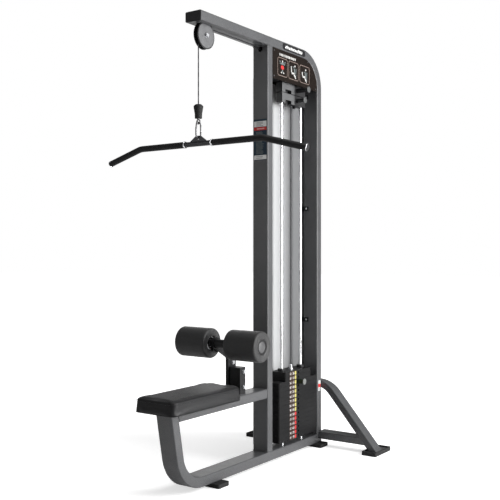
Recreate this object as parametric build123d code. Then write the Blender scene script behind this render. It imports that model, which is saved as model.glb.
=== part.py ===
from build123d import *
from math import atan2, cos, degrees, radians, sqrt, tan
import os

# Lat pulldown machine: a selectorised cable tower with seat, thigh rollers and a 1.2 m lat bar.
# Millimetres. +Z up, the user faces +Y, X runs across the machine. The origin is on the floor, in
# the middle of the machine's footprint. Every piece is a solid of its own, in parts/NAME.step.

# ---------------------------------------------------------------- driving dimensions
OVERALL_HEIGHT = 2300.0
OVERALL_LENGTH = 1548.0        # front of the seat pad to the back of the side feet

TUBE_WIDTH = 96.0              # main frame tube, across X
TUBE_DEPTH = 50.0              # main frame tube, in the plane that it bends in
TUBE_WALL = 3.0
TUBE_CORNER = 6.0

FOOT_HEIGHT = 20.0             # rubber blocks under the base tube
FOOT_WIDTH = 180.0
FOOT_LENGTH = 86.0

# tower
ARM_REACH = 598.0              # front upright's centre to the front of the arm
ARM_BEND_RADIUS = 175.0        # centre line
ARCH_SETBACK = 137.0           # rear upright's centre to the machine's back
BASE_BEND_RADIUS = 170.0
POST_LEAN = 10.8               # seat front post, degrees from upright
SEAT_OVERHANG = 74.0           # seat pad in front of the leaning post, at the top of the seat tube

# seat
SEAT_TOP = 480.0
SEAT_THICKNESS = 70.0
SEAT_WIDTH = 254.0
SEAT_LENGTH = 554.0
SEAT_FRONT_RADIUS = 38.0
SEAT_REAR_RADIUS = 66.0
BOARD_THICKNESS = 12.0
BOARD_INSET = 14.0

# rear A-frame: an arch of rectangular tube, leaning back onto the rear upright
ARCH_TUBE_WIDTH = 85.0
ARCH_TUBE_DEPTH = 40.0
ARCH_TOP = 388.0
ARCH_OUTER_RADIUS = 180.0
ARCH_LEAN = 7.0
LEG_ANGLE = 46.6
CROSSBAR_HEIGHT = 43.0
CROSSBAR_WIDTH = 80.0
CROSSBAR_BOTTOM = 43.0
SHOE_LENGTH = 196.0
SHOE_WIDTH = 88.0
SHOE_HEIGHT = 22.0
SHOE_RIM = 5.0
SHOE_FLOOR = 8.0
SHOE_OVERHANG = 35.68          # centre of a leg's foot to the shoe's outer edge
FOOT_PLATE = 6.0

# pulleys and cable
CABLE_DIAMETER = 6.0
PITCH_RADIUS = 44.0
SHEAVE_FLANGE = 8.0            # rim of the wheel beyond the cable's centre line
SHEAVE_WIDTH = 16.0
CHEEK_MARGIN = 13.5            # cheek plate beyond the wheel
CHEEK_THICKNESS = 5.0
CHEEK_GAP = 18.0
AXLE_DIAMETER = 12.0
BEARING_RADIUS = 15.0
CABLE_UNDER_ARM = 8.0          # arm tube to the cable's centre line
FRONT_PULLEY_SETBACK = 86.0    # front of the arm to the pulley's axle
RUNNING_CLEARANCE = 0.05
MOVING_GAP = 0.4

# lat bar and what it hangs from
BAR_UNDER_ARM = 583.0          # arm tube to the bar's centre line, at rest
BAR_DIAMETER = 25.0
BAR_BEND_X = 376.0
BAR_END_X = 600.0
BAR_END_DROP = 62.0
BAR_BEND_RADIUS = 120.0
BAR_TILT = 15.0                # its bent ends lean toward the tower, degrees
GRIP_WALL = 3.0
GRIP_START_X = 87.0
COLLAR_WALL = 4.5
COLLAR_LENGTH = 7.0
STOPPER_ABOVE_BAR = 190.0
STOPPER_HEIGHT = 68.0
STOPPER_TOP_DIAMETER = 47.0
STOPPER_BOTTOM_DIAMETER = 35.0
CARABINER_WIRE = 8.0
CARABINER_LENGTH = 84.0
CARABINER_WIDTH = 44.0
TAB_WIDTH = 94.0
TAB_THICKNESS = 8.0

# weight stack
PLATE_THICKNESS = 25.0
PLATE_GAP = 0.4                # film between two plates
PLATE_DEPTH = 102.0
WIDE_PLATE = 400.0
NARROW_PLATE_ENDS = 35.5       # rod centre to the end of a narrow plate
STACK_FRONT_GAP = 59.0         # front upright to a wide plate
STACK_REAR_GAP = 14.0          # a wide plate to the rear upright
NARROW_COUNT = 2
WIDE_COUNT = 13
ROD_SPACING = 201.0
ROD_DIAMETER = 20.0
STACK_GAP = 24.5               # base tube to the lowest plate
SELECTOR_DIAMETER = 24.0
PIN_DIAMETER = 10.0
PIN_CLEARANCE = 2.0            # pin hole over the pin's diameter
PINNED_PLATE = 3               # counted from the top of the stack

# add-on weights, parked at the top of the guide rods
ADDON_WIDTH = 44.0
ADDON_ENDS = 23.5              # rod centre to the end of a weight
ADDON_HEIGHT = 54.0
ADDON_UNDER_ARM = 274.0        # arm tube to the bottom of the lower weight
ADDON_PITCH = 58.0
KEEPER_SETBACK = 34.0          # behind the cable
KEEPER_SIZE = 12.0

# covers
PANEL_HEIGHT = 167.0
PANEL_THICKNESS = 3.0
SHROUD_STANDOFF = 8.0          # frame tube's side to the shroud
SHROUD_OFF_BASE = 25.0
SHROUD_FRONT_INSET = 18.0      # behind the front upright's front face
SHROUD_BACK_INSET = 8.0
SHROUD_LOW_LEVEL = 742.0       # brackets that hold the shroud
SHROUD_TOP_DROP = 26.0

# thigh rollers
ROLLER_REACH = 110.0           # thigh post's front to the roller's axle
ROLLER_Z = 681.0
ROLLER_DIAMETER = 152.0
ROLLER_INNER_X = 60.0
ROLLER_OUTER_X = 248.0
SHAFT_DIAMETER = 25.0
POST_WIDTH = 70.0
POST_BEHIND_SEAT = 75.0
POST_TOP = 550.0
ARM_PLATE_THICKNESS = 15.0
ARM_PLATE_WIDTH = 69.0

# ---------------------------------------------------------------- worked out from them
BASE_Z = FOOT_HEIGHT + TUBE_DEPTH / 2
BASE_TOP = FOOT_HEIGHT + TUBE_DEPTH
ARM_BOTTOM = OVERALL_HEIGHT - TUBE_DEPTH
ARM_Z = OVERALL_HEIGHT - TUBE_DEPTH / 2
HALF_TUBE = TUBE_WIDTH / 2
PLATE_PITCH = PLATE_THICKNESS + PLATE_GAP
REAR_UPRIGHT_Y = OVERALL_LENGTH / 2 - ARCH_SETBACK
FRONT_UPRIGHT_Y = REAR_UPRIGHT_Y - TUBE_DEPTH - STACK_FRONT_GAP - WIDE_PLATE - STACK_REAR_GAP
STACK_Y = REAR_UPRIGHT_Y - TUBE_DEPTH / 2 - STACK_REAR_GAP - WIDE_PLATE / 2
ARM_FRONT_Y = FRONT_UPRIGHT_Y - ARM_REACH
SEAT_BOTTOM = SEAT_TOP - SEAT_THICKNESS
SEAT_FRONT_Y = -OVERALL_LENGTH / 2
POST_TOP_Y = SEAT_FRONT_Y + SEAT_OVERHANG
POST_FRONT_Y = SEAT_FRONT_Y + SEAT_LENGTH + POST_BEHIND_SEAT
ROLLER_Y = POST_FRONT_Y - ROLLER_REACH
SHEAVE_RADIUS = PITCH_RADIUS + SHEAVE_FLANGE
CHEEK_RADIUS = SHEAVE_RADIUS + CHEEK_MARGIN
CABLE_RUN_Z = ARM_BOTTOM - CABLE_UNDER_ARM
FRONT_PULLEY_Y = ARM_FRONT_Y + FRONT_PULLEY_SETBACK
FRONT_FACE_Y = FRONT_UPRIGHT_Y - TUBE_DEPTH / 2
REAR_FACE_Y = REAR_UPRIGHT_Y - TUBE_DEPTH / 2
BACK_Y = REAR_UPRIGHT_Y + TUBE_DEPTH / 2
PULLEY_Z = CABLE_RUN_Z - PITCH_RADIUS
DROP_Y = FRONT_PULLEY_Y - PITCH_RADIUS
TOWER_PULLEY_Y = STACK_Y - PITCH_RADIUS
STACK_BOTTOM = BASE_TOP + STACK_GAP
PIN_HOLE = PIN_DIAMETER + PIN_CLEARANCE
PLATE_COUNT = NARROW_COUNT + WIDE_COUNT
STACK_TOP = STACK_BOTTOM + PLATE_COUNT * PLATE_PITCH
ROD_YS = (STACK_Y - ROD_SPACING / 2, STACK_Y + ROD_SPACING / 2)
NARROW_PLATE = ROD_SPACING + 2 * NARROW_PLATE_ENDS
ADDON_LENGTH = ROD_SPACING + 2 * ADDON_ENDS
ADDON_BOTTOM = ARM_BOTTOM - ADDON_UNDER_ARM
KEEPER_Y = STACK_Y + KEEPER_SETBACK
BAR_Z = ARM_BOTTOM - BAR_UNDER_ARM
STOPPER_TOP_Z = BAR_Z + STOPPER_ABOVE_BAR
GRIP_DIAMETER = BAR_DIAMETER + 2 * GRIP_WALL
COLLAR_DIAMETER = BAR_DIAMETER + 2 * COLLAR_WALL
PANEL_BOTTOM = ARM_BOTTOM - PANEL_HEIGHT
SHROUD_X = HALF_TUBE + SHROUD_STANDOFF
SHROUD_BOTTOM = BASE_TOP + SHROUD_OFF_BASE
SHROUD_TOP_LEVEL = PANEL_BOTTOM - SHROUD_TOP_DROP
SHROUD_LEVELS = (SHROUD_LOW_LEVEL, (SHROUD_LOW_LEVEL + SHROUD_TOP_LEVEL) / 2 - 1.5, SHROUD_TOP_LEVEL)


# ---------------------------------------------------------------- helpers
def block(x0, x1, y0, y1, z0, z1):
    """A box from its low corner to its high corner."""
    return Pos((x0 + x1) / 2, (y0 + y1) / 2, (z0 + z1) / 2) * Box(x1 - x0, y1 - y0, z1 - z0)


def rod(axis, centre, radius, low, high):
    """A cylinder along X, Y or Z. centre holds the two other coordinates, in X, Y, Z order."""
    length, middle = high - low, (low + high) / 2
    if axis == "X":
        return Pos(middle, *centre) * Rot(0, 90, 0) * Cylinder(radius, length)
    if axis == "Y":
        return Pos(centre[0], middle, centre[1]) * Rot(90, 0, 0) * Cylinder(radius, length)
    return Pos(*centre, middle) * Cylinder(radius, length)


def ring(axis, centre, inner, outer, low, high):
    """A straight ring, as rod() takes its arguments."""
    return rod(axis, centre, outer, low, high) - rod(axis, centre, inner, low - 1, high + 1)


def prism(axis, centre, across_flats, low, high):
    """A hexagonal prism, for bolt heads and nuts."""
    length = high - low
    flat = extrude(RegularPolygon(across_flats / 2, 6, major_radius=False), length)
    if axis == "X":
        return Pos(low, *centre) * Rot(0, 90, 0) * flat
    if axis == "Y":
        return Pos(centre[0], low, centre[1]) * Rot(-90, 0, 0) * flat
    return Pos(*centre, low) * flat


def swept(path, section, across=(1, 0, 0)):
    """A section swept along a path. The section's X axis stays along `across`."""
    start = Plane(origin=path @ 0, x_dir=across, z_dir=path % 0)
    return sweep(start * section, path=path)


def tube_section(width, depth, wall, corner):
    """A rectangular tube's section with rounded corners."""
    outer = RectangleRounded(width, depth, corner)
    return outer - RectangleRounded(width - 2 * wall, depth - 2 * wall, corner - wall)


def in_side_plane(*points):
    """(Y, Z) pairs as points in the machine's middle plane."""
    return [(0, y, z) for y, z in points]


def mirrored(solid):
    """The same solid on the other side of the machine."""
    return mirror(solid, about=Plane.YZ)


def save(name, *solids):
    """Write one node: a single solid, or a group of separate ones."""
    pieces = [piece for solid in solids for piece in solid.solids()]
    shape = pieces[0] if len(pieces) == 1 else Compound(children=pieces)
    shape.label = name
    export_step(shape, os.path.join("parts", name + ".step"))


# ---------------------------------------------------------------- frame
FRAME_SECTION = tube_section(TUBE_WIDTH, TUBE_DEPTH, TUBE_WALL, TUBE_CORNER)
ARCH_SECTION = tube_section(ARCH_TUBE_WIDTH, ARCH_TUBE_DEPTH, TUBE_WALL, TUBE_CORNER)
CAP_FLANGE = 3.0
CAP_PLUG = 16.0
FIT_GAP = 0.2
ROD_FOOT_RADIUS = ROD_DIAMETER / 2 + 6.0
ROD_FOOT_HEIGHT = 10.0
ROD_SCREW = 10.0
SEAT_BOLT = 8.0
SEAT_BOLT_YS = (SEAT_FRONT_Y + 172, SEAT_FRONT_Y + 430)


def straight_tube(axis, centre, low, high):
    """A straight piece of frame tube along Y or Z."""
    length = extrude(FRAME_SECTION, high - low)
    if axis == "Y":
        return Pos(0, high, centre) * Rot(90, 0, 0) * length
    return Pos(0, centre, low) * length


def post_back_y(z):
    """Where the leaning seat post's back face is at a height."""
    lean = radians(POST_LEAN)
    return POST_TOP_Y + TUBE_DEPTH / cos(lean) + (SEAT_BOTTOM - z) * tan(lean)


def make_base_tube():
    """Base and leaning seat post, one tube with one bend, cut level under the seat board."""
    lean = radians(POST_LEAN)
    rise = SEAT_BOTTOM + TUBE_DEPTH - BASE_Z
    front_y = post_back_y(BASE_Z) - TUBE_DEPTH / 2 / cos(lean)
    path = FilletPolyline(*in_side_plane((BACK_Y - CAP_FLANGE, BASE_Z), (front_y, BASE_Z),
                                         (front_y - rise * tan(lean), BASE_Z + rise)),
                          radius=BASE_BEND_RADIUS)
    tube = swept(path, FRAME_SECTION)
    tube -= block(-TUBE_WIDTH, TUBE_WIDTH, -OVERALL_LENGTH, 0, SEAT_BOTTOM, SEAT_TOP + TUBE_DEPTH)
    for y in ROD_YS:
        tube -= rod("Z", (0, y), ROD_SCREW / 2, BASE_Z, BASE_TOP + 1)
    return tube


def make_seat_tube():
    """The tube under the seat, cut to the post's back face and running to the front upright."""
    tube = straight_tube("Y", SEAT_BOTTOM - TUBE_DEPTH / 2, POST_TOP_Y, FRONT_FACE_Y)
    low, high = SEAT_BOTTOM - TUBE_DEPTH - 10, SEAT_BOTTOM + 10
    post = Polyline((POST_TOP_Y - 50, low), (post_back_y(low), low), (post_back_y(high), high),
                    (POST_TOP_Y - 50, high), close=True)
    tube -= extrude(Plane.YZ * make_face(post), TUBE_WIDTH, both=True)
    for y in SEAT_BOLT_YS:
        tube -= rod("Z", (0, y), SEAT_BOLT / 2 + FIT_GAP, SEAT_BOTTOM - TUBE_DEPTH - 1, SEAT_BOTTOM + 1)
    return tube


CABLE_SLOT_WIDTH = 28.0
CABLE_SLOT_DEPTH = 32.0


def make_front_upright():
    """Straight upright with a round-bottomed cable slot in its front and back walls."""
    tube = straight_tube("Z", FRONT_UPRIGHT_Y, BASE_TOP, ARM_BOTTOM)
    half = CABLE_SLOT_WIDTH / 2
    centre_z = ARM_BOTTOM - CABLE_SLOT_DEPTH + half
    back = FRONT_FACE_Y + TUBE_DEPTH
    tube -= block(-half, half, FRONT_FACE_Y - 1, back + 1, centre_z, ARM_BOTTOM + 1)
    return tube - rod("Y", (0, centre_z), half, FRONT_FACE_Y - 1, back + 1)


def arm_path():
    return FilletPolyline(*in_side_plane((ARM_FRONT_Y + CAP_FLANGE, ARM_Z), (REAR_UPRIGHT_Y, ARM_Z),
                                         (REAR_UPRIGHT_Y, BASE_TOP)), radius=ARM_BEND_RADIUS)


def make_top_arm():
    """Arm and rear upright, one tube with one bend, slotted underneath for the front pulley."""
    half_gap = CHEEK_GAP / 2 + CHEEK_THICKNESS
    half_slot = sqrt(CHEEK_RADIUS ** 2 - (ARM_BOTTOM - PULLEY_Z) ** 2) + 6
    return swept(arm_path(), FRAME_SECTION) - block(-half_gap, half_gap, FRONT_PULLEY_Y - half_slot,
                                              FRONT_PULLEY_Y + half_slot, ARM_BOTTOM - 1,
                                              ARM_BOTTOM + TUBE_WALL + 1)


def arch(section):
    """The arch at full length: round at the top, straight legs that run on below the floor."""
    radius = ARCH_OUTER_RADIUS - ARCH_TUBE_DEPTH / 2
    angle = radians(LEG_ANGLE)
    corner_z = ARCH_TOP - ARCH_OUTER_RADIUS + radius / cos(angle)
    below = 60.0
    foot_x = (corner_z + below) / tan(angle)
    y = BACK_Y + ARCH_TUBE_WIDTH / 2
    path = FilletPolyline((-foot_x, y, -below), (0, y, corner_z), (foot_x, y, -below), radius=radius)
    flat = swept(path, section, across=(0, 1, 0))
    return Pos(0, BACK_Y, ARCH_TOP) * Rot(-ARCH_LEAN, 0, 0) * Pos(0, -BACK_Y, -ARCH_TOP) * flat


LEG_BOTTOM = SHOE_FLOOR + FOOT_PLATE
SHOE_BACK_Y = OVERALL_LENGTH / 2      # the shoes reach the machine's back


def leg_foot_x():
    """Where a leg's centre line meets its foot plate."""
    angle = radians(LEG_ANGLE)
    drop = ARCH_OUTER_RADIUS - (ARCH_OUTER_RADIUS - ARCH_TUBE_DEPTH / 2) / cos(angle)
    along = (ARCH_TOP - LEG_BOTTOM) / cos(radians(ARCH_LEAN))
    return (along - drop) / tan(angle)


SHOE_OUTER_X = leg_foot_x() + SHOE_OVERHANG
ARCH_FULL = arch(ARCH_SECTION)
ARCH_ENVELOPE = arch(RectangleRounded(ARCH_TUBE_WIDTH, ARCH_TUBE_DEPTH, TUBE_CORNER))


def make_arch_brace():
    """The arch, cut level on the foot plates and coped around the rear upright."""
    below = block(-1000, 1000, 0, 1000, -200, LEG_BOTTOM)
    upright = block(-HALF_TUBE, HALF_TUBE, REAR_FACE_Y, BACK_Y, BASE_TOP, ARCH_TOP + 100)
    return ARCH_FULL - below - upright


def make_crossbars():
    """Two level tubes from the rear upright's sides to the legs, cut to the legs' slope."""
    lean_at_bar = (ARCH_TOP - CROSSBAR_BOTTOM - CROSSBAR_HEIGHT / 2) * tan(radians(ARCH_LEAN))
    y = BACK_Y - lean_at_bar + ARCH_TUBE_WIDTH / 2
    z = CROSSBAR_BOTTOM + CROSSBAR_HEIGHT / 2
    section = tube_section(CROSSBAR_WIDTH, CROSSBAR_HEIGHT, TUBE_WALL, TUBE_CORNER)
    bar = Pos(HALF_TUBE, y, z) * Rot(0, 90, 0) * Rot(0, 0, 90) * extrude(section, SHOE_OUTER_X)
    inner = max((bar - ARCH_ENVELOPE).solids(), key=lambda piece: piece.volume)
    near = min((bar - ARCH_ENVELOPE).solids(), key=lambda piece: piece.center().X)
    kept = near if near.volume > 0.2 * inner.volume else inner
    return kept, mirrored(kept)


def make_foot_plates():
    """Steel plates welded under the legs, lying in the rubber shoes."""
    gap = SHOE_RIM + MOVING_GAP
    plate = block(SHOE_OUTER_X - SHOE_WIDTH + gap, SHOE_OUTER_X - gap, SHOE_BACK_Y - SHOE_LENGTH + gap,
                  SHOE_BACK_Y - gap, SHOE_FLOOR, LEG_BOTTOM)
    plate = fillet(plate.edges().filter_by(Axis.Z), 4)
    return plate, mirrored(plate)


def make_side_feet():
    """Rubber shoes: shallow trays with a raised rim."""
    outer = block(SHOE_OUTER_X - SHOE_WIDTH, SHOE_OUTER_X, SHOE_BACK_Y - SHOE_LENGTH, SHOE_BACK_Y,
                  0, SHOE_HEIGHT)
    outer = fillet(outer.edges().filter_by(Axis.Z), 6)
    tray = block(SHOE_OUTER_X - SHOE_WIDTH + SHOE_RIM, SHOE_OUTER_X - SHOE_RIM,
                 SHOE_BACK_Y - SHOE_LENGTH + SHOE_RIM, SHOE_BACK_Y - SHOE_RIM,
                 SHOE_FLOOR, SHOE_HEIGHT + 1)
    shoe = outer - tray
    return shoe, mirrored(shoe)


def make_base_feet():
    """Two rubber blocks across the base tube, ribbed underneath."""
    feet = []
    for front in BASE_FOOT_YS:
        foot = block(-FOOT_WIDTH / 2, FOOT_WIDTH / 2, front, front + FOOT_LENGTH, 0, FOOT_HEIGHT)
        foot = fillet(foot.edges().filter_by(Axis.Z), 8)
        ribs = 6
        for index in range(ribs):
            y = front + FOOT_LENGTH * (index + 0.5) / ribs
            foot -= block(-FOOT_WIDTH, FOOT_WIDTH, y - 2, y + 2, -1, 3)
        feet.append(foot)
    return feet


BASE_FOOT_YS = (ARM_FRONT_Y + 87, REAR_FACE_Y - 30)


def make_end_caps():
    """Plastic plugs in the open ends of the arm and the base, and on the thigh post."""
    plug = RectangleRounded(TUBE_WIDTH - 2 * TUBE_WALL - FIT_GAP, TUBE_DEPTH - 2 * TUBE_WALL - FIT_GAP,
                            TUBE_CORNER - TUBE_WALL)
    flange = RectangleRounded(TUBE_WIDTH, TUBE_DEPTH, TUBE_CORNER)
    cap = extrude(flange, CAP_FLANGE)
    cap = chamfer(cap.faces().sort_by(Axis.Z)[0].edges(), CAP_FLANGE * 0.6)
    cap += Pos(0, 0, CAP_FLANGE) * extrude(plug, CAP_PLUG)
    facing_front = Rot(-90, 0, 0) * cap
    facing_back = Rot(90, 0, 0) * cap
    return (Pos(0, ARM_FRONT_Y, ARM_Z) * facing_front,
            Pos(0, BACK_Y, BASE_Z) * facing_back)


# ---------------------------------------------------------------- seat
def seat_outline():
    """The pad's outline: small radii in front, larger ones behind."""
    y0, y1, half = SEAT_FRONT_Y, SEAT_FRONT_Y + SEAT_LENGTH, SEAT_WIDTH / 2
    outline = make_face(Polyline((-half, y0), (half, y0), (half, y1), (-half, y1), close=True))
    outline = fillet(outline.vertices().group_by(Axis.Y)[0], SEAT_FRONT_RADIUS)
    return fillet(outline.vertices().sort_by(Axis.Y)[-2:], SEAT_REAR_RADIUS)


def make_seat_pad():
    """Plain closed cushion with a pocket below for its board."""
    pad = Pos(0, 0, SEAT_BOTTOM) * extrude(seat_outline(), SEAT_THICKNESS)
    pad = fillet(pad.faces().sort_by(Axis.Z)[-1].edges(), 10)
    pocket = offset(seat_outline(), -BOARD_INSET, kind=Kind.INTERSECTION)
    return pad - Pos(0, 0, SEAT_BOTTOM - 1) * extrude(pocket, BOARD_THICKNESS + 1)


def make_seat_board():
    board = Pos(0, 0, SEAT_BOTTOM) * extrude(offset(seat_outline(), -BOARD_INSET - FIT_GAP,
                                                    kind=Kind.INTERSECTION), BOARD_THICKNESS)
    for y in SEAT_BOLT_YS:
        board -= rod("Z", (0, y), SEAT_BOLT / 2 + FIT_GAP, SEAT_BOTTOM - 1, SEAT_TOP)
    return board


def make_seat_bolts():
    """Hexagon bolts up through the seat tube into the board."""
    bottom = SEAT_BOTTOM - TUBE_DEPTH
    bolts = []
    for y in SEAT_BOLT_YS:
        shank = rod("Z", (0, y), SEAT_BOLT / 2, bottom, SEAT_BOTTOM + BOARD_THICKNESS)
        washer = rod("Z", (0, y), SEAT_BOLT, bottom - 1.6, bottom)
        bolts.append(shank + washer + prism("Z", (0, y), 13, bottom - 7, bottom - 1.6))
    return bolts


# ---------------------------------------------------------------- thigh rollers
PLATE_OUTER_X = -POST_WIDTH / 2 - 0.5 - ARM_PLATE_THICKNESS
PLATE_INNER_X = -POST_WIDTH / 2 - 0.5
POST_CENTRE_Y = POST_FRONT_Y + TUBE_DEPTH / 2
THIGH_BOLT = 10.0
THIGH_BOLT_ZS = (POST_TOP - 101.0, POST_TOP - 22.0)
STOP_BOLT_Z = POST_TOP + 20.0
BOSS_RADIUS = SHAFT_DIAMETER / 2 + 9.5
BOSS_END_X = ROLLER_INNER_X + 4
ROLLER_CAP_RADIUS = SHAFT_DIAMETER / 2 + 23.5
ROLLER_CAP_WIDTH = 16.0
SLEEVE_RADIUS = SHAFT_DIAMETER / 2 + 8.5


def make_thigh_post():
    """Short rectangular post on the seat tube."""
    section = tube_section(POST_WIDTH, TUBE_DEPTH, TUBE_WALL, TUBE_CORNER)
    post = Pos(0, POST_CENTRE_Y, SEAT_BOTTOM) * extrude(section, POST_TOP - SEAT_BOTTOM - CAP_FLANGE)
    for z in THIGH_BOLT_ZS:
        post -= rod("X", (POST_CENTRE_Y + 5, z), THIGH_BOLT / 2 + FIT_GAP, -POST_WIDTH, POST_WIDTH)
    return post


def make_post_cap():
    """Black plug in the top of the thigh post."""
    cap = extrude(RectangleRounded(POST_WIDTH, TUBE_DEPTH, TUBE_CORNER), CAP_FLANGE)
    plug = RectangleRounded(POST_WIDTH - 2 * TUBE_WALL - FIT_GAP, TUBE_DEPTH - 2 * TUBE_WALL - FIT_GAP,
                            TUBE_CORNER - TUBE_WALL)
    whole = cap + Pos(0, 0, -CAP_PLUG / 2) * extrude(plug, CAP_PLUG / 2)
    return Pos(0, POST_CENTRE_Y, POST_TOP - CAP_FLANGE) * whole


def make_thigh_arm():
    """Thick steel plate bolted to the post's side; its head reaches forward to the roller shaft."""
    y0 = POST_CENTRE_Y - ARM_PLATE_WIDTH / 2
    y1 = y0 + ARM_PLATE_WIDTH
    bottom, shoulder = SEAT_BOTTOM + 15, POST_TOP + 62
    outline = make_face(Polyline((y0, bottom), (y1, bottom), (y1, shoulder), (ROLLER_Y + 12, ROLLER_Z + 34),
                                 (ROLLER_Y - 20, ROLLER_Z - 14), (y0, shoulder - 14), close=True))
    outline = fillet(outline.vertices(), 9)
    outline += Pos(ROLLER_Y, ROLLER_Z) * Circle(BOSS_RADIUS + 8)
    plate = Plane(origin=(PLATE_OUTER_X, 0, 0), x_dir=(0, 1, 0), z_dir=(1, 0, 0)) * outline
    plate = extrude(plate, ARM_PLATE_THICKNESS)
    plate += rod("X", (ROLLER_Y, ROLLER_Z), BOSS_RADIUS, -BOSS_END_X, BOSS_END_X)
    plate -= rod("X", (ROLLER_Y, ROLLER_Z), SHAFT_DIAMETER / 2, -ROLLER_OUTER_X, ROLLER_OUTER_X)
    for z in THIGH_BOLT_ZS + (STOP_BOLT_Z,):
        plate -= rod("X", (POST_CENTRE_Y + 5, z), THIGH_BOLT / 2 + FIT_GAP, -POST_WIDTH, POST_WIDTH)
    return plate


def hex_bolt(axis_y, z, head_x, tip_x, radius, direction=1):
    """A bolt along X with a washer; its head is at head_x and points along direction."""
    washer, head = 2.0, radius * 1.3
    low, high = sorted((head_x, head_x + direction * washer))
    bolt = rod("X", (axis_y, z), radius * 2, low, high)
    low, high = sorted((head_x + direction * washer, head_x + direction * (washer + head)))
    bolt += prism("X", (axis_y, z), radius * 3.4, low, high)
    low, high = sorted((tip_x, head_x + direction * washer))
    return bolt + rod("X", (axis_y, z), radius, low, high)


def make_thigh_bolts():
    """Two through bolts with nuts, and the stop bolt above the post."""
    y = POST_CENTRE_Y + 5
    bolts = []
    for z in THIGH_BOLT_ZS:
        bolts.append(hex_bolt(y, z, POST_WIDTH / 2, PLATE_OUTER_X - 9, THIGH_BOLT / 2))
        nut = prism("X", (y, z), 17, PLATE_OUTER_X - 8, PLATE_OUTER_X)
        bolts.append(nut - rod("X", (y, z), THIGH_BOLT / 2, PLATE_OUTER_X - 9, PLATE_OUTER_X + 1))
    bolts.append(hex_bolt(y, STOP_BOLT_Z, PLATE_INNER_X, PLATE_OUTER_X - 1, THIGH_BOLT / 2))
    return bolts


def make_roller_shaft():
    """Round bar through the arm's boss, with the rollers on its ends."""
    return rod("X", (ROLLER_Y, ROLLER_Z), SHAFT_DIAMETER / 2, -ROLLER_OUTER_X + 8, ROLLER_OUTER_X - 8)


def make_foam_roller():
    """A plain foam cylinder with its caps' recesses; the right-hand one."""
    foam = ring("X", (ROLLER_Y, ROLLER_Z), SLEEVE_RADIUS, ROLLER_DIAMETER / 2, ROLLER_INNER_X,
                ROLLER_OUTER_X)
    foam = fillet(foam.edges().filter_by(GeomType.CIRCLE).sort_by(SortBy.RADIUS)[-2:], 9)
    for low, high in ((ROLLER_INNER_X - 1, ROLLER_INNER_X + ROLLER_CAP_WIDTH),
                      (ROLLER_OUTER_X - ROLLER_CAP_WIDTH, ROLLER_OUTER_X + 1)):
        foam -= rod("X", (ROLLER_Y, ROLLER_Z), ROLLER_CAP_RADIUS, low, high)
    return foam


def make_roller_core():
    """Plastic core tube that carries the foam, with the two end caps; the right-hand one."""
    where = (ROLLER_Y, ROLLER_Z)
    bore = SHAFT_DIAMETER / 2 + RUNNING_CLEARANCE
    inner_end = ROLLER_INNER_X + ROLLER_CAP_WIDTH
    outer_end = ROLLER_OUTER_X - ROLLER_CAP_WIDTH
    core = ring("X", where, bore, SLEEVE_RADIUS, inner_end - 8, outer_end + 2)
    core += ring("X", where, bore, ROLLER_CAP_RADIUS, inner_end - 8, inner_end)
    cup = rod("X", where, ROLLER_CAP_RADIUS, outer_end, outer_end + 12)
    cup -= rod("X", where, bore, outer_end - 1, outer_end + 9)
    return core + cup - rod("X", where, bore, inner_end - 9, outer_end + 9)


# ---------------------------------------------------------------- pulleys
GROOVE_RADIUS = PITCH_RADIUS - CABLE_DIAMETER / 2 - MOVING_GAP
GROOVE_HALF_WIDTH = CABLE_DIAMETER / 2 + 1.2


def make_sheave(y):
    """Grooved wheel, lightened by a shallow dish on both sides."""
    where = (y, PULLEY_Z)
    half = SHEAVE_WIDTH / 2
    wheel = rod("X", where, SHEAVE_RADIUS, -half, half)
    groove = make_face(Polyline((-GROOVE_HALF_WIDTH, GROOVE_RADIUS + 3), (-GROOVE_HALF_WIDTH + 2, GROOVE_RADIUS),
                                (GROOVE_HALF_WIDTH - 2, GROOVE_RADIUS), (GROOVE_HALF_WIDTH, GROOVE_RADIUS + 3),
                                (half - 1, SHEAVE_RADIUS + 1), (1 - half, SHEAVE_RADIUS + 1), close=True))
    cutter = revolve(Plane(origin=(0, y, PULLEY_Z), x_dir=(1, 0, 0), z_dir=(0, -1, 0)) * groove,
                     axis=Axis((0, y, PULLEY_Z), (1, 0, 0)))
    wheel -= cutter
    for side in (-1, 1):
        low, high = sorted((side * (half - 3), side * (half + 1)))
        wheel -= ring("X", where, BEARING_RADIUS + 6, GROOVE_RADIUS - 5, low, high)
    return wheel - rod("X", where, BEARING_RADIUS + RUNNING_CLEARANCE, -half - 1, half + 1)


def make_bearings():
    """One bearing on each pulley axle, shown as a plain ring."""
    half = SHEAVE_WIDTH / 2 + 0.5
    return [ring("X", (y, PULLEY_Z), AXLE_DIAMETER / 2, BEARING_RADIUS, -half, half)
            for y in (FRONT_PULLEY_Y, TOWER_PULLEY_Y)]


def make_pulley_cheeks():
    """Two round side plates, welded in the arm's slot, that carry the front pulley's axle."""
    inner, outer = CHEEK_GAP / 2, CHEEK_GAP / 2 + CHEEK_THICKNESS
    cheek = ring("X", (FRONT_PULLEY_Y, PULLEY_Z), AXLE_DIAMETER / 2, CHEEK_RADIUS, inner, outer)
    cheek = chamfer(cheek.edges().filter_by(GeomType.CIRCLE).group_by(Axis.X)[-1]
                    .sort_by(SortBy.RADIUS)[-1], 1)
    return cheek, mirrored(cheek)


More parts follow.
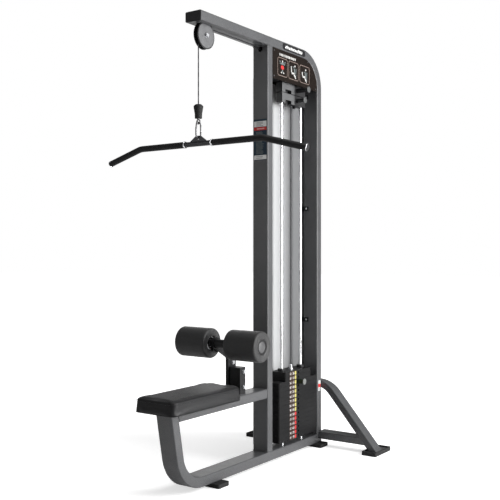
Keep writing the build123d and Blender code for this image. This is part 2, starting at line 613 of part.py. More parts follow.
def make_tower_bracket():
    """Two ears under the arm that carry the tower pulley."""
    inner, outer = CHEEK_GAP / 2, CHEEK_GAP / 2 + CHEEK_THICKNESS
    half = 26.0
    outline = make_face(Polyline((TOWER_PULLEY_Y - half, ARM_BOTTOM), (TOWER_PULLEY_Y + half, ARM_BOTTOM),
                                 (TOWER_PULLEY_Y + half, PULLEY_Z), (TOWER_PULLEY_Y - half, PULLEY_Z),
                                 close=True))
    outline += Pos(TOWER_PULLEY_Y, PULLEY_Z) * Circle(half)
    outline -= Pos(TOWER_PULLEY_Y, PULLEY_Z) * Circle(AXLE_DIAMETER / 2)
    ear = extrude(Plane(origin=(inner, 0, 0), x_dir=(0, 1, 0), z_dir=(1, 0, 0)) * outline, outer - inner)
    return ear, mirrored(ear)


def make_pulley_bolts():
    """A bolt, washer and nut through each pair of cheeks."""
    outer = CHEEK_GAP / 2 + CHEEK_THICKNESS
    pieces = []
    for y in (FRONT_PULLEY_Y, TOWER_PULLEY_Y):
        pieces.append(hex_bolt(y, PULLEY_Z, outer, -outer - 10, AXLE_DIAMETER / 2))
        nut = prism("X", (y, PULLEY_Z), 19, -outer - 9, -outer)
        pieces.append(nut - rod("X", (y, PULLEY_Z), AXLE_DIAMETER / 2, -outer - 11, -outer + 1))
    return pieces


# ---------------------------------------------------------------- cable
def make_cable_top_run():
    """Over the front pulley, through the front upright and over the tower pulley."""
    path = FilletPolyline(*in_side_plane((DROP_Y, PULLEY_Z - 1), (DROP_Y, CABLE_RUN_Z), (STACK_Y, CABLE_RUN_Z),
                                         (STACK_Y, PULLEY_Z - 1)), radius=PITCH_RADIUS)
    return swept(path, Circle(CABLE_DIAMETER / 2))


def make_cable_front_drop():
    return rod("Z", (0, DROP_Y), CABLE_DIAMETER / 2, STOPPER_TOP_Z, PULLEY_Z - 1)


def make_cable_stack_drop():
    return rod("Z", (0, STACK_Y), CABLE_DIAMETER / 2, STACK_TOP + END_BOLT_LENGTH, PULLEY_Z - 1)


# ---------------------------------------------------------------- lat bar
EYE_WIRE = 3.0
EYE_RADIUS = 10.0
STOPPER_BOTTOM_Z = STOPPER_TOP_Z - STOPPER_HEIGHT
EYE_Z = STOPPER_BOTTOM_Z - EYE_RADIUS - 2 * EYE_WIRE
WIRE = CARABINER_WIRE / 2
CARABINER_TOP_Z = EYE_Z - EYE_RADIUS + EYE_WIRE + WIRE + MOVING_GAP
CARABINER_BOTTOM_Z = CARABINER_TOP_Z + CARABINER_WIRE - CARABINER_LENGTH
TAB_HOLE = 13.0
TAB_HOLE_Z = CARABINER_BOTTOM_Z + WIRE + 1 - TAB_HOLE / 2
CARABINER_TOP_RADIUS = 13.0
GATE_TOP_Z = CARABINER_TOP_Z - 22.0
GATE_BOTTOM_Z = CARABINER_BOTTOM_Z + 26.0


def make_cable_stopper():
    """Rubber stop on the cable: a straight neck below, a wide shoulder and a domed top."""
    neck, wide = STOPPER_BOTTOM_DIAMETER / 2, STOPPER_TOP_DIAMETER / 2
    sketch = make_face(Polyline((0, STOPPER_BOTTOM_Z), (neck, STOPPER_BOTTOM_Z),
                                (neck + 0.5, STOPPER_BOTTOM_Z + STOPPER_HEIGHT * 0.32),
                                (wide, STOPPER_TOP_Z - STOPPER_HEIGHT * 0.19),
                                (wide, STOPPER_TOP_Z - STOPPER_HEIGHT * 0.12),
                                (wide * 0.62, STOPPER_TOP_Z), (0, STOPPER_TOP_Z), close=True))
    cone = revolve(Plane(origin=(0, DROP_Y, 0), x_dir=(1, 0, 0), z_dir=(0, -1, 0)) * sketch,
                   axis=Axis((0, DROP_Y, 0), (0, 0, 1)))
    cone = fillet(cone.edges().filter_by(GeomType.CIRCLE), 2)
    return cone - rod("Z", (0, DROP_Y), 7, STOPPER_BOTTOM_Z - 1, STOPPER_BOTTOM_Z + 20)


def make_cable_eye():
    """Steel eye crimped on the cable: a shank in the stopper and a ring below it."""
    eye = Pos(0, DROP_Y, EYE_Z) * Rot(90, 0, 0) * Torus(EYE_RADIUS, EYE_WIRE)
    shank = rod("Z", (0, DROP_Y), 6.5, EYE_Z + EYE_RADIUS, STOPPER_BOTTOM_Z + 19)
    return eye + shank


def carabiner_line():
    """The carabiner's centre line in its own plane: (Y, Z) from the gate's foot round to its hinge."""
    half = CARABINER_WIDTH / 2 - WIRE
    bottom_radius = half
    gate_y = DROP_Y + half
    return FilletPolyline(*in_side_plane((gate_y, GATE_BOTTOM_Z), (gate_y, CARABINER_BOTTOM_Z),
                                         (gate_y - 2 * half, CARABINER_BOTTOM_Z),
                                         (gate_y - 2 * half, CARABINER_TOP_Z - 30),
                                         (DROP_Y - 12, CARABINER_TOP_Z),
                                         (gate_y, CARABINER_TOP_Z), (gate_y, GATE_TOP_Z)),
                          radius=(bottom_radius * 0.98, bottom_radius * 0.98, 20, 9, CARABINER_TOP_RADIUS))


def make_carabiner_body():
    """Bent wire hook with the gate's side open."""
    return swept(carabiner_line(), Circle(WIRE))


GATE_RADIUS = WIRE - 0.5
GATE_PIVOT_Z = GATE_BOTTOM_Z + MOVING_GAP + GATE_RADIUS


def make_carabiner_gate():
    """Straight gate between the hook's two ends; it turns about its ball-shaped bottom end."""
    y = DROP_Y + CARABINER_WIDTH / 2 - WIRE
    stem = rod("Z", (0, y), GATE_RADIUS, GATE_PIVOT_Z, GATE_TOP_Z - 1.5 * MOVING_GAP)
    return stem + Pos(0, y, GATE_PIVOT_Z) * Sphere(GATE_RADIUS)


def bar_path():
    """The lat bar's centre line: level in the middle, both ends bent down."""
    end = (BAR_END_X, DROP_Y, BAR_Z - BAR_END_DROP)
    bend = (BAR_BEND_X, DROP_Y, BAR_Z)
    return FilletPolyline((-end[0], end[1], end[2]), (-bend[0], bend[1], bend[2]), bend, end,
                          radius=BAR_BEND_RADIUS)


def tilted(solid):
    """The bar's own parts, turned about its middle so that the bent ends lean toward the tower."""
    return Pos(0, DROP_Y, BAR_Z) * Rot(BAR_TILT, 0, 0) * Pos(0, -DROP_Y, -BAR_Z) * solid


def make_lat_bar():
    """Steel tube, bent at both ends."""
    section = Circle(BAR_DIAMETER / 2) - Circle(BAR_DIAMETER / 2 - 2.5)
    return tilted(swept(bar_path(), section, across=(0, 1, 0)))


def make_hanger_tab():
    """Triangular plate welded along the top of the bar, with the hole for the carabiner."""
    half = TAB_WIDTH / 2
    seat_z = BAR_Z + BAR_DIAMETER / 2 - 3
    top = TAB_HOLE_Z + TAB_HOLE / 2 + 6
    outline = make_face(Polyline((-half, seat_z), (half, seat_z), (half, seat_z + 5), (13, top), (-13, top),
                                 (-half, seat_z + 5), close=True))
    outline = fillet(outline.vertices().group_by(Axis.Y)[-1], 11)
    outline -= Pos(0, TAB_HOLE_Z) * Circle(TAB_HOLE / 2)
    plate = Plane(origin=(0, DROP_Y - TAB_THICKNESS / 2, 0), x_dir=(1, 0, 0), z_dir=(0, -1, 0)) * outline
    tab = extrude(plate, -TAB_THICKNESS)
    return tab - rod("X", (DROP_Y, BAR_Z), BAR_DIAMETER / 2, -half - 5, half + 5)


def make_bar_grips():
    """Rubber grips that follow the bar's bends."""
    section = Circle(GRIP_DIAMETER / 2) - Circle(BAR_DIAMETER / 2)
    grips = swept(bar_path(), section, across=(0, 1, 0))
    grips -= block(-GRIP_START_X, GRIP_START_X, DROP_Y - 50, DROP_Y + 50, BAR_Z - 50, BAR_Z + 50)
    return tilted(grips)


def make_bar_collars():
    """Chrome rings where the grips start."""
    collar = ring("X", (DROP_Y, BAR_Z), BAR_DIAMETER / 2, COLLAR_DIAMETER / 2, GRIP_START_X - COLLAR_LENGTH,
                  GRIP_START_X)
    collar = fillet(collar.edges().filter_by(GeomType.CIRCLE).sort_by(SortBy.RADIUS)[-2:], 1.5)
    return collar, mirrored(collar)


def make_bar_end_caps():
    """Plugs in the ends of the bar, with a rim as wide as the grips."""
    angle = degrees(atan2(BAR_END_DROP, BAR_END_X - BAR_BEND_X))
    rim = Pos(0, 0, 2) * Cylinder(GRIP_DIAMETER / 2 + 1, 4)
    rim = fillet(rim.edges(), 1.2)
    cap = rim + Pos(0, 0, -6) * Cylinder(BAR_DIAMETER / 2 - 2.5 - FIT_GAP, 12)
    cap = tilted(Pos(BAR_END_X, DROP_Y, BAR_Z - BAR_END_DROP) * Rot(0, 90 + angle, 0) * cap)
    return cap, mirrored(cap)


# ---------------------------------------------------------------- weight stack
END_BOLT_LENGTH = 28.0
ROD_BAR_BOTTOM = ADDON_BOTTOM + ADDON_PITCH + ADDON_HEIGHT + 4
ROD_BAR_THICKNESS = 8.0
ROD_BAR_WIDTH = 60.0
ROD_BORE = ROD_DIAMETER / 2 + 0.8
BUSH_RADIUS = ROD_DIAMETER / 2 + 11.0
BUSH_HEIGHT = 16.0
BUMPER_HEIGHT = STACK_GAP - ROD_FOOT_HEIGHT - 1


def plate_bottom(index):
    """Bottom of a plate; index 1 is the top one."""
    return STACK_TOP - index * PLATE_PITCH + (PLATE_PITCH - PLATE_THICKNESS)


def make_plate(index):
    """One weight plate with its rod bores, selector bore and pin hole."""
    length = NARROW_PLATE if index <= NARROW_COUNT else WIDE_PLATE
    z0 = plate_bottom(index)
    plate = block(-PLATE_DEPTH / 2, PLATE_DEPTH / 2, STACK_Y - length / 2, STACK_Y + length / 2,
                  z0, z0 + PLATE_THICKNESS)
    plate = chamfer(plate.edges().filter_by(Axis.Z), 4)
    plate = fillet(plate.faces().sort_by(Axis.Z)[-1].outer_wire().edges(), 1.5)
    for y in ROD_YS:
        plate -= rod("Z", (0, y), ROD_BORE, z0 - 1, z0 + PLATE_THICKNESS + 1)
    bore = SELECTOR_DIAMETER / 2 + (0 if index <= NARROW_COUNT else 0.8)
    plate -= rod("Z", (0, STACK_Y), bore, z0 - 1, z0 + PLATE_THICKNESS + 1)
    return plate - rod("X", (STACK_Y, z0 + PLATE_THICKNESS / 2), PIN_HOLE / 2, -PLATE_DEPTH, PLATE_DEPTH)


def make_selector_rod():
    """Drilled bar under the top plate; the pin goes through it and one plate."""
    bar = rod("Z", (0, STACK_Y), SELECTOR_DIAMETER / 2, STACK_BOTTOM + 4, STACK_TOP)
    for index in range(1, PLATE_COUNT + 1):
        z = plate_bottom(index) + PLATE_THICKNESS / 2
        bar -= rod("X", (STACK_Y, z), PIN_HOLE / 2, -PLATE_DEPTH, PLATE_DEPTH)
    return bar - rod("Z", (0, STACK_Y), 5, STACK_TOP - 14, STACK_TOP + 1)


def make_guide_rods():
    """Chromed rods from their feet on the base up through the bar that holds their tops."""
    return [rod("Z", (0, y), ROD_DIAMETER / 2, BASE_TOP + 2, ROD_BAR_BOTTOM + ROD_BAR_THICKNESS)
            for y in ROD_YS]


def make_rod_feet():
    """Collars screwed into the base that the rods stand in."""
    feet = []
    for y in ROD_YS:
        foot = rod("Z", (0, y), ROD_FOOT_RADIUS, BASE_TOP, BASE_TOP + ROD_FOOT_HEIGHT)
        foot -= rod("Z", (0, y), ROD_DIAMETER / 2, BASE_TOP + 2, BASE_TOP + ROD_FOOT_HEIGHT + 1)
        feet.append(foot + rod("Z", (0, y), ROD_SCREW / 2, BASE_TOP - 12, BASE_TOP + 1))
    return feet


def make_rod_top_bar():
    """Flat bar between the uprights that holds the rods' tops; the cable passes through its middle."""
    bar = block(-ROD_BAR_WIDTH / 2, ROD_BAR_WIDTH / 2, FRONT_FACE_Y + TUBE_DEPTH, REAR_UPRIGHT_Y,
                ROD_BAR_BOTTOM, ROD_BAR_BOTTOM + ROD_BAR_THICKNESS)
    bar -= swept(arm_path(), RectangleRounded(TUBE_WIDTH, TUBE_DEPTH, TUBE_CORNER))
    for y in ROD_YS:
        bar -= rod("Z", (0, y), ROD_DIAMETER / 2, ROD_BAR_BOTTOM - 1, ROD_BAR_BOTTOM + ROD_BAR_THICKNESS + 1)
    return bar - rod("Z", (0, STACK_Y), CABLE_DIAMETER, ROD_BAR_BOTTOM - 1,
                     ROD_BAR_BOTTOM + ROD_BAR_THICKNESS + 1)


def make_stack_bumpers():
    """Rubber rings on the rods that the lowest plate rests on."""
    low = BASE_TOP + ROD_FOOT_HEIGHT
    return [ring("Z", (0, y), ROD_DIAMETER / 2, ROD_FOOT_RADIUS + 5, low, plate_bottom(PLATE_COUNT))
            for y in ROD_YS]


def make_guide_bushes():
    """Black plastic bushes that slide on the rods, seated on the top plate."""
    bushes = []
    for y in ROD_YS:
        collar = rod("Z", (0, y), BUSH_RADIUS, STACK_TOP, STACK_TOP + BUSH_HEIGHT)
        collar = fillet(collar.faces().sort_by(Axis.Z)[-1].edges(), 3)
        collar -= rod("Z", (0, y), ROD_DIAMETER / 2 + RUNNING_CLEARANCE, STACK_TOP - 1, STACK_TOP + 99)
        bushes.append(collar)
    return bushes


def make_cable_end_bolt():
    """Threaded end of the cable, screwed into the selector rod, with its lock nut."""
    where = (0, STACK_Y)
    bolt = rod("Z", where, 8, STACK_TOP, STACK_TOP + END_BOLT_LENGTH)
    bolt = chamfer(bolt.faces().sort_by(Axis.Z)[-1].edges(), 2)
    bolt += prism("Z", where, 22, STACK_TOP, STACK_TOP + 8)
    return bolt + rod("Z", where, 5, STACK_TOP - 13, STACK_TOP + 1)


PIN_HANDLE_RADIUS = 13.0
PIN_HANDLE_LENGTH = 36.0
PIN_DISC_RADIUS = 17.0


def make_selector_pin():
    """Steel pin with a round handle and a flat end disc."""
    z = plate_bottom(PINNED_PLATE) + PLATE_THICKNESS / 2
    face = PLATE_DEPTH / 2 + 1
    where = (STACK_Y, z)
    pin = rod("X", where, PIN_DIAMETER / 2, -22, face + 2)
    pin += rod("X", where, PIN_HANDLE_RADIUS, face, face + PIN_HANDLE_LENGTH)
    disc = rod("X", where, PIN_DISC_RADIUS, face + PIN_HANDLE_LENGTH, face + PIN_HANDLE_LENGTH + 4)
    return pin + fillet(disc.edges(), 1.2)


# ---------------------------------------------------------------- add-on weights
ADDON_PIN_DIAMETER = 10.0
ADDON_PIN_FACES = (76.0, 100.0)      # end discs of the lower and the upper pull pin
NOTCH = (STACK_Y - 92.0, STACK_Y - 30.0)     # finger notch, along Y
NOTCH_HEIGHT = 18.0


def addon_bottom(level):
    """Bottom of an add-on weight: level 0 is the lower one."""
    return ADDON_BOTTOM + level * ADDON_PITCH


def make_addon_weight(level):
    """Small steel weight on both guide rods, with a finger notch below and a bore for its pull pin."""
    z0 = addon_bottom(level)
    z1 = z0 + ADDON_HEIGHT
    half = ADDON_WIDTH / 2
    front = STACK_Y - ADDON_LENGTH / 2
    weight = block(-half, half, front, front + ADDON_LENGTH, z0, z1)
    weight = fillet(weight.edges().filter_by(Axis.Z), 5)
    weight -= block(0, half + 1, NOTCH[0], NOTCH[1], z0 - 1, z0 + NOTCH_HEIGHT)
    for y in ROD_YS:
        weight -= rod("Z", (0, y), ROD_DIAMETER / 2 + RUNNING_CLEARANCE, z0 - 1, z1 + 1)
    weight -= rod("Z", (0, STACK_Y), 14, z0 - 1, z1 + 1)
    keeper = KEEPER_SIZE / 2 + 1
    weight -= block(-keeper, keeper, KEEPER_Y - keeper, KEEPER_Y + keeper, z0 - 1, z1 + 1)
    return weight - rod("X", (KEEPER_Y, (z0 + z1) / 2), ADDON_PIN_DIAMETER / 2 + RUNNING_CLEARANCE,
                        keeper - 1, half + 1)


def make_addon_pin(level):
    """Pull pin: its tip bears on the keeper bar, its knob ends in a flat disc."""
    where = (KEEPER_Y, addon_bottom(level) + ADDON_HEIGHT / 2)
    end = ADDON_PIN_FACES[level]
    pin = rod("X", where, ADDON_PIN_DIAMETER / 2, KEEPER_SIZE / 2 + MOVING_GAP, ADDON_WIDTH / 2 + 8)
    pin += rod("X", where, PIN_HANDLE_RADIUS, ADDON_WIDTH / 2 + MOVING_GAP, end - 4)
    return pin + fillet(rod("X", where, PIN_DISC_RADIUS, end - 4, end).edges(), 1.2)


def make_keeper_bar():
    """Square bar below the rods' top bar that the parked add-on weights are held to."""
    return block(-KEEPER_SIZE / 2, KEEPER_SIZE / 2, KEEPER_Y - KEEPER_SIZE / 2,
                 KEEPER_Y + KEEPER_SIZE / 2, ADDON_BOTTOM - 14, ROD_BAR_BOTTOM)


# ---------------------------------------------------------------- covers
def panel_outline():
    """Flat panel between the uprights, under the arm; its back top corner follows the tube's bend."""
    y0, y1 = FRONT_FACE_Y + TUBE_DEPTH + FIT_GAP, REAR_FACE_Y - FIT_GAP
    face = make_face(Polyline((y0, PANEL_BOTTOM), (y1, PANEL_BOTTOM), (y1, ARM_BOTTOM - FIT_GAP),
                              (y0, ARM_BOTTOM - FIT_GAP), close=True))
    corner = face.vertices().sort_by(lambda vertex: vertex.X + vertex.Y)[-1]
    return fillet(corner, ARM_BEND_RADIUS - TUBE_DEPTH / 2)


def make_side_panel(low_x):
    """One of the two panels that close the top of the tower."""
    return extrude(Plane(origin=(low_x, 0, 0), x_dir=(0, 1, 0), z_dir=(1, 0, 0)) * panel_outline(),
                   PANEL_THICKNESS)


def make_rear_shroud():
    """Sheet that closes the far side of the stack, from the base to the top panel."""
    y0, y1 = FRONT_FACE_Y + SHROUD_FRONT_INSET, BACK_Y - SHROUD_BACK_INSET
    sheet = block(-SHROUD_X - PANEL_THICKNESS, -SHROUD_X, y0, y1, SHROUD_BOTTOM, PANEL_BOTTOM + 4)
    return fillet(sheet.edges().filter_by(Axis.X), 6)


BRACKET = 4.0
BRACKET_HEIGHT = 25.0
BRACKET_REACH = 44.0


def shroud_bracket(face_y, side, z):
    """Angle from an upright's inner face to the shroud; side is +1 on the front upright."""
    far = face_y + side * BRACKET
    y0, y1 = sorted((face_y, far))
    leg = block(-SHROUD_X, -SHROUD_X + BRACKET_REACH, y0, y1, z - BRACKET_HEIGHT / 2, z + BRACKET_HEIGHT / 2)
    y0, y1 = sorted((face_y, face_y + side * 22))
    foot = block(-SHROUD_X, -SHROUD_X + BRACKET, y0, y1, z - BRACKET_HEIGHT / 2, z + BRACKET_HEIGHT / 2)
    return leg + foot


def make_shroud_brackets():
    faces = ((FRONT_FACE_Y + TUBE_DEPTH, 1), (REAR_FACE_Y, -1))
    return [shroud_bracket(y, side, z) for z in SHROUD_LEVELS for y, side in faces]


# ---------------------------------------------------------------- write every node
def write_all():
    """One STEP file per node."""
    os.makedirs("parts", exist_ok=True)
    for old in os.listdir("parts"):
        os.remove(os.path.join("parts", old))
    save("base_tube", make_base_tube())
    save("seat_tube", make_seat_tube())
    save("front_upright", make_front_upright())
    save("top_arm", make_top_arm())
    save("arch_brace", make_arch_brace())
    save("crossbars", *make_crossbars())
    save("foot_plates", *make_foot_plates())
    save("side_feet", *make_side_feet())
    save("base_feet", *make_base_feet())
    save("tube_end_caps", *make_end_caps(), make_post_cap())
    save("seat_pad", make_seat_pad())
    save("seat_board", make_seat_board())
    save("seat_bolts", *make_seat_bolts())
    save("thigh_post", make_thigh_post())
    save("thigh_arm", make_thigh_arm())
    save("thigh_bolts", *make_thigh_bolts())
    save("roller_shaft", make_roller_shaft())
    save("foam_roller_right", make_foam_roller())
    save("foam_roller_left", mirrored(make_foam_roller()))
    save("roller_core_right", make_roller_core())
    save("roller_core_left", mirrored(make_roller_core()))
    save("front_sheave", make_sheave(FRONT_PULLEY_Y))
    save("tower_sheave", make_sheave(TOWER_PULLEY_Y))
    save("pulley_bearings", *make_bearings())
    save("pulley_cheeks", *make_pulley_cheeks())
    save("tower_pulley_bracket", *make_tower_bracket())
    save("pulley_bolts", *make_pulley_bolts())
    save("cable_top_run", make_cable_top_run())
    save("cable_front_drop", make_cable_front_drop())
    save("cable_stack_drop", make_cable_stack_drop())
    save("cable_stopper", make_cable_stopper())
    save("cable_eye", make_cable_eye())
    save("carabiner_body", make_carabiner_body())
    save("carabiner_gate", make_carabiner_gate())
    save("lat_bar", make_lat_bar())
    save("hanger_tab", make_hanger_tab())
    save("bar_grips", make_bar_grips())
    save("bar_collars", *make_bar_collars())
    save("bar_end_caps", *make_bar_end_caps())
    save("guide_rods", *make_guide_rods())
    save("rod_feet", *make_rod_feet())
    save("rod_top_bar", make_rod_top_bar())
    save("stack_bumpers", *make_stack_bumpers())
    save("guide_bushes", *make_guide_bushes())
    save("top_plate", make_plate(1))
    save("second_plate", make_plate(2))
    save("pinned_plate", make_plate(PINNED_PLATE))
    save("resting_plates", *[make_plate(index) for index in range(PINNED_PLATE + 1, PLATE_COUNT + 1)])
    save("selector_rod", make_selector_rod())
    save("cable_end_bolt", make_cable_end_bolt())
    save("selector_pin", make_selector_pin())
    for level, name in enumerate(("lower", "upper")):
        save("addon_weight_" + name, make_addon_weight(level))
        save("addon_pin_" + name, make_addon_pin(level))
    save("keeper_bar", make_keeper_bar())
    save("instruction_panel", make_side_panel(HALF_TUBE - 1 - PANEL_THICKNESS))
    save("far_top_panel", make_side_panel(1 - HALF_TUBE))
    save("rear_shroud", make_rear_shroud())
    save("shroud_brackets", *make_shroud_brackets())


write_all()
print("nodes:", len(os.listdir("parts")))
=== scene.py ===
# %% [markdown]
# # Lat pulldown machine
# The engineering model gives every solid piece at its true place. This lesson dresses it: each part
# gets its finish, and the soft, printed and twisted parts are modelled afresh around it.
# Everything is in metres: X across the machine, +Y the way the user faces, Z up from the floor.

# %% Load the frame
import math
import random

import bmesh
import bpy
from mathutils import Matrix, Vector, noise


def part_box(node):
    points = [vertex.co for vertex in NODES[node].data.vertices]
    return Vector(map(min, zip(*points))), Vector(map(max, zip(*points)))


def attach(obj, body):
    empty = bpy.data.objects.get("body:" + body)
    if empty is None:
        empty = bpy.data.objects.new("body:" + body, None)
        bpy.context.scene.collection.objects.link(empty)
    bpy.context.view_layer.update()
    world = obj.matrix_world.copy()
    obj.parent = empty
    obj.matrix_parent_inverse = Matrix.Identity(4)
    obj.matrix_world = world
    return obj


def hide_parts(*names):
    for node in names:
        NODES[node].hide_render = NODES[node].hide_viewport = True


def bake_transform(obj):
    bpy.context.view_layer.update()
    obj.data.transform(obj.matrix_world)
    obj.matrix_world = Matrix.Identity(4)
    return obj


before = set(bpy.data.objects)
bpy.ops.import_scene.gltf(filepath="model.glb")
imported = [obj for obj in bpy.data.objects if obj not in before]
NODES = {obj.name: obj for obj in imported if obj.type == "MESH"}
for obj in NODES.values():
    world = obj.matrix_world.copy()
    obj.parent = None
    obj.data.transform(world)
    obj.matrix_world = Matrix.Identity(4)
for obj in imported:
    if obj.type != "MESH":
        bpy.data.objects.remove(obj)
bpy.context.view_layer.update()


# %% [markdown]
# ## Camera, floor and light
# A tall machine is seen best from a front corner, with the camera level at about half its height, so
# that its uprights stay upright in the picture. The light is a studio's: a tall softbox on the pin
# side makes that side pale and leaves the front dark, one overhead lights the tops, and two strips,
# one in front and one behind, give the chrome and the far edges something to reflect.

# %% Camera
camera = bpy.data.objects.new("camera", bpy.data.cameras.new("camera"))
bpy.context.scene.collection.objects.link(camera)
EYE = (2.4333, -3.4797, 1.1532)      # off the front right corner, at half the machine's height
TURN = 35                            # degrees from straight ahead
camera.location = EYE
camera.rotation_euler = (math.radians(90), 0, math.radians(TURN))
camera.data.sensor_width = 36
camera.data.lens = 57.83
camera.data.shift_x = -0.0006
bpy.context.scene.camera = camera
bpy.context.scene.view_settings.view_transform = "Standard"


# %% Softboxes
def softbox(name, place, aim, width, height, watts):
    """A large rectangular lamp at place that points at aim."""
    lamp = bpy.data.lights.new(name, "AREA")
    lamp.shape = "RECTANGLE"
    lamp.size, lamp.size_y, lamp.energy = width, height, watts
    box = bpy.data.objects.new(name, lamp)
    box.location = place
    box.rotation_euler = (Vector(aim) - Vector(place)).to_track_quat("-Z", "Y").to_euler()
    bpy.context.scene.collection.objects.link(box)


MIDDLE = (0, 0, 1.1)
softbox("pin_side_softbox", (4.2, 1.2, 1.9), MIDDLE, 3.0, 3.4, 390)
softbox("overhead_softbox", (0.6, -0.4, 4.6), MIDDLE, 3.0, 3.0, 62)
softbox("front_strip", (-2.6, -4.2, 2.2), MIDDLE, 0.7, 3.0, 12)
softbox("back_strip", (-2.5, 3.4, 2.4), MIDDLE, 1.4, 3.0, 16)


# %% [markdown]
# ## A small language for finishes
# A finish is a network of shader nodes. Writing it as sums and products is shorter than linking
# nodes by hand, so one class wraps a socket and lets + - * and < > build the Math nodes.

# %% Sockets with arithmetic
class Socket:
    """An output of a node. Arithmetic on it adds Math nodes to the same finish."""

    def __init__(self, look, socket):
        self.look, self.socket = look, socket

    def _math(self, operation, *values):
        return self.look.node("ShaderNodeMath", {"operation": operation}, dict(enumerate(values)))

    def __add__(self, other):
        return self._math("ADD", self, other)

    def __sub__(self, other):
        return self._math("SUBTRACT", self, other)

    def __rsub__(self, other):
        return self._math("SUBTRACT", other, self)

    def __mul__(self, other):
        return self._math("MULTIPLY", self, other)

    def __gt__(self, other):
        return self._math("GREATER_THAN", self, other)

    def __lt__(self, other):
        return self._math("LESS_THAN", self, other)

    def __abs__(self):
        return self._math("ABSOLUTE", self)

    def sine(self):
        return self._math("SINE", self)

    __radd__, __rmul__ = __add__, __mul__


class Look:
    """A finish: a Principled shader and the nodes that feed it."""

    def __init__(self, name, **sockets):
        self.material = bpy.data.materials.new(name)
        self.material.use_nodes = True
        self.tree = self.material.node_tree
        self.shader = self.tree.nodes["Principled BSDF"]
        self.give(**sockets)

    def put(self, socket, value):
        if isinstance(value, Socket):
            self.tree.links.new(value.socket, socket)
        elif hasattr(socket.default_value, "__len__") and len(value) == 3 and len(socket.default_value) == 4:
            socket.default_value = (*value, 1)
        else:
            socket.default_value = value

    def node(self, kind, settings=None, inputs=None, out=0):
        """Adds a node: its settings first, then the values or links of its sockets."""
        made = self.tree.nodes.new(kind)
        for key, value in (settings or {}).items():
            if key == "stops":
                while len(made.color_ramp.elements) < len(value):
                    made.color_ramp.elements.new(1.0)
                for stop, (place, colour) in zip(made.color_ramp.elements, value):
                    stop.position, stop.color = place, (*colour, 1)
            else:
                setattr(made, key, value)
        for key, value in (inputs or {}).items():
            self.put(made.inputs[key], value)
        return Socket(self, made.outputs[out])

    def give(self, **sockets):
        """Sets the shader's own sockets: give(base_color=..., coat_weight=...)."""
        for key, value in sockets.items():
            self.put(self.shader.inputs[SOCKET_NAMES.get(key, key.replace("_", " ").title())], value)
        return self

    def place(self):
        return self.node("ShaderNodeTexCoord", out="Object")

    def along(self, axis):
        """One Object coordinate, in metres."""
        return self.node("ShaderNodeSeparateXYZ", {}, {0: self.place()}, out=axis)

    def noise(self, scale, detail=2.0, roughness=0.5):
        return self.node("ShaderNodeTexNoise", {},
                         {"Vector": self.place(), "Scale": scale, "Detail": detail, "Roughness": roughness})

    def grain(self, scale, out="Distance"):
        """Round cells, as of foam or a moulded grain."""
        return self.node("ShaderNodeTexVoronoi", {"feature": "F1"},
                         {"Vector": self.place(), "Scale": scale}, out)

    def mix(self, factor, first, second):
        """A colour between two: first where factor is 0."""
        return self.node("ShaderNodeMix", {"data_type": "RGBA"}, {0: factor, 6: first, 7: second}, out=2)

    def between(self, value, low, high):
        """The value, from low..high to 0..1, clamped."""
        return self.node("ShaderNodeMapRange", {"clamp": True},
                         {"Value": value, "From Min": low, "From Max": high})

    def bump(self, height, strength, distance):
        """Raises the surface by a height, over a distance in metres."""
        normal = self.node("ShaderNodeBump", {},
                           {"Height": height, "Strength": strength, "Distance": distance})
        return self.give(normal=normal)


SOCKET_NAMES = {"ior": "IOR", "specular": "Specular IOR Level", "sheen": "Sheen Weight"}


# %% [markdown]
# ## Mesh tools
# Small closed shapes come from bmesh operators: a cube that is scaled and bevelled, or a profile that
# is spun about an axis. `piece` turns the result into an object with its finish, which rides on one of
# the machine's moving bodies.

# %% Shapes
AXES = {"X": Vector((1, 0, 0)), "Y": Vector((0, 1, 0)), "Z": Vector((0, 0, 1))}


def bar(bm, low, high, bevel=0.0, segments=2, only=None):
    """A box between two corners. Its edges are bevelled, or only those along one axis."""
    verts = bmesh.ops.create_cube(bm, size=1)["verts"]
    low, high = Vector(low), Vector(high)
    bmesh.ops.scale(bm, verts=verts, vec=high - low)
    bmesh.ops.translate(bm, verts=verts, vec=(low + high) / 2)
    if bevel:
        edges = {edge for vert in verts for edge in vert.link_edges}
        if only:
            edges = {e for e in edges
                     if abs((e.verts[0].co - e.verts[1].co).normalized().dot(AXES[only])) > 0.9}
        bmesh.ops.bevel(bm, geom=list(edges), offset=bevel, offset_type="OFFSET", affect="EDGES",
                        segments=segments, profile=0.5, material=-1, clamp_overlap=True)


def turned(bm, profile, centre, axis="X", steps=64):
    """A profile of (distance along the axis, radius) points, spun all the way round."""
    along = AXES[axis]
    side = AXES["Z"] if axis != "Z" else AXES["X"]
    verts = [bmesh.ops.create_vert(bm, co=Vector(centre) + along * a + side * r)["vert"][0]
             for a, r in profile]
    edges = [bm.edges.new(pair) for pair in zip(verts, verts[1:])]
    bmesh.ops.spin(bm, geom=verts + edges, cent=centre, axis=along, angle=math.tau, steps=steps,
                   use_merge=True, use_normal_flip=False, use_duplicate=False)


def piece(name, bm, look, body, slot, *stands_for, crease=35):
    """Closes the mesh, gives it its finish and lets it ride on a body."""
    bmesh.ops.remove_doubles(bm, verts=bm.verts, dist=1e-6)
    bmesh.ops.recalc_face_normals(bm, faces=bm.faces)
    mesh = bpy.data.meshes.new(name)
    bm.to_mesh(mesh)
    bm.free()
    mesh.polygons.foreach_set("use_smooth", [True] * len(mesh.polygons))
    mesh.set_sharp_from_angle(angle=math.radians(crease))
    made = bpy.data.objects.new(name, mesh)
    bpy.context.scene.collection.objects.link(made)
    mesh.materials.append(look.material)
    if stands_for:
        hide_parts(*stands_for)
    if body:
        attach(made, body)
    return made


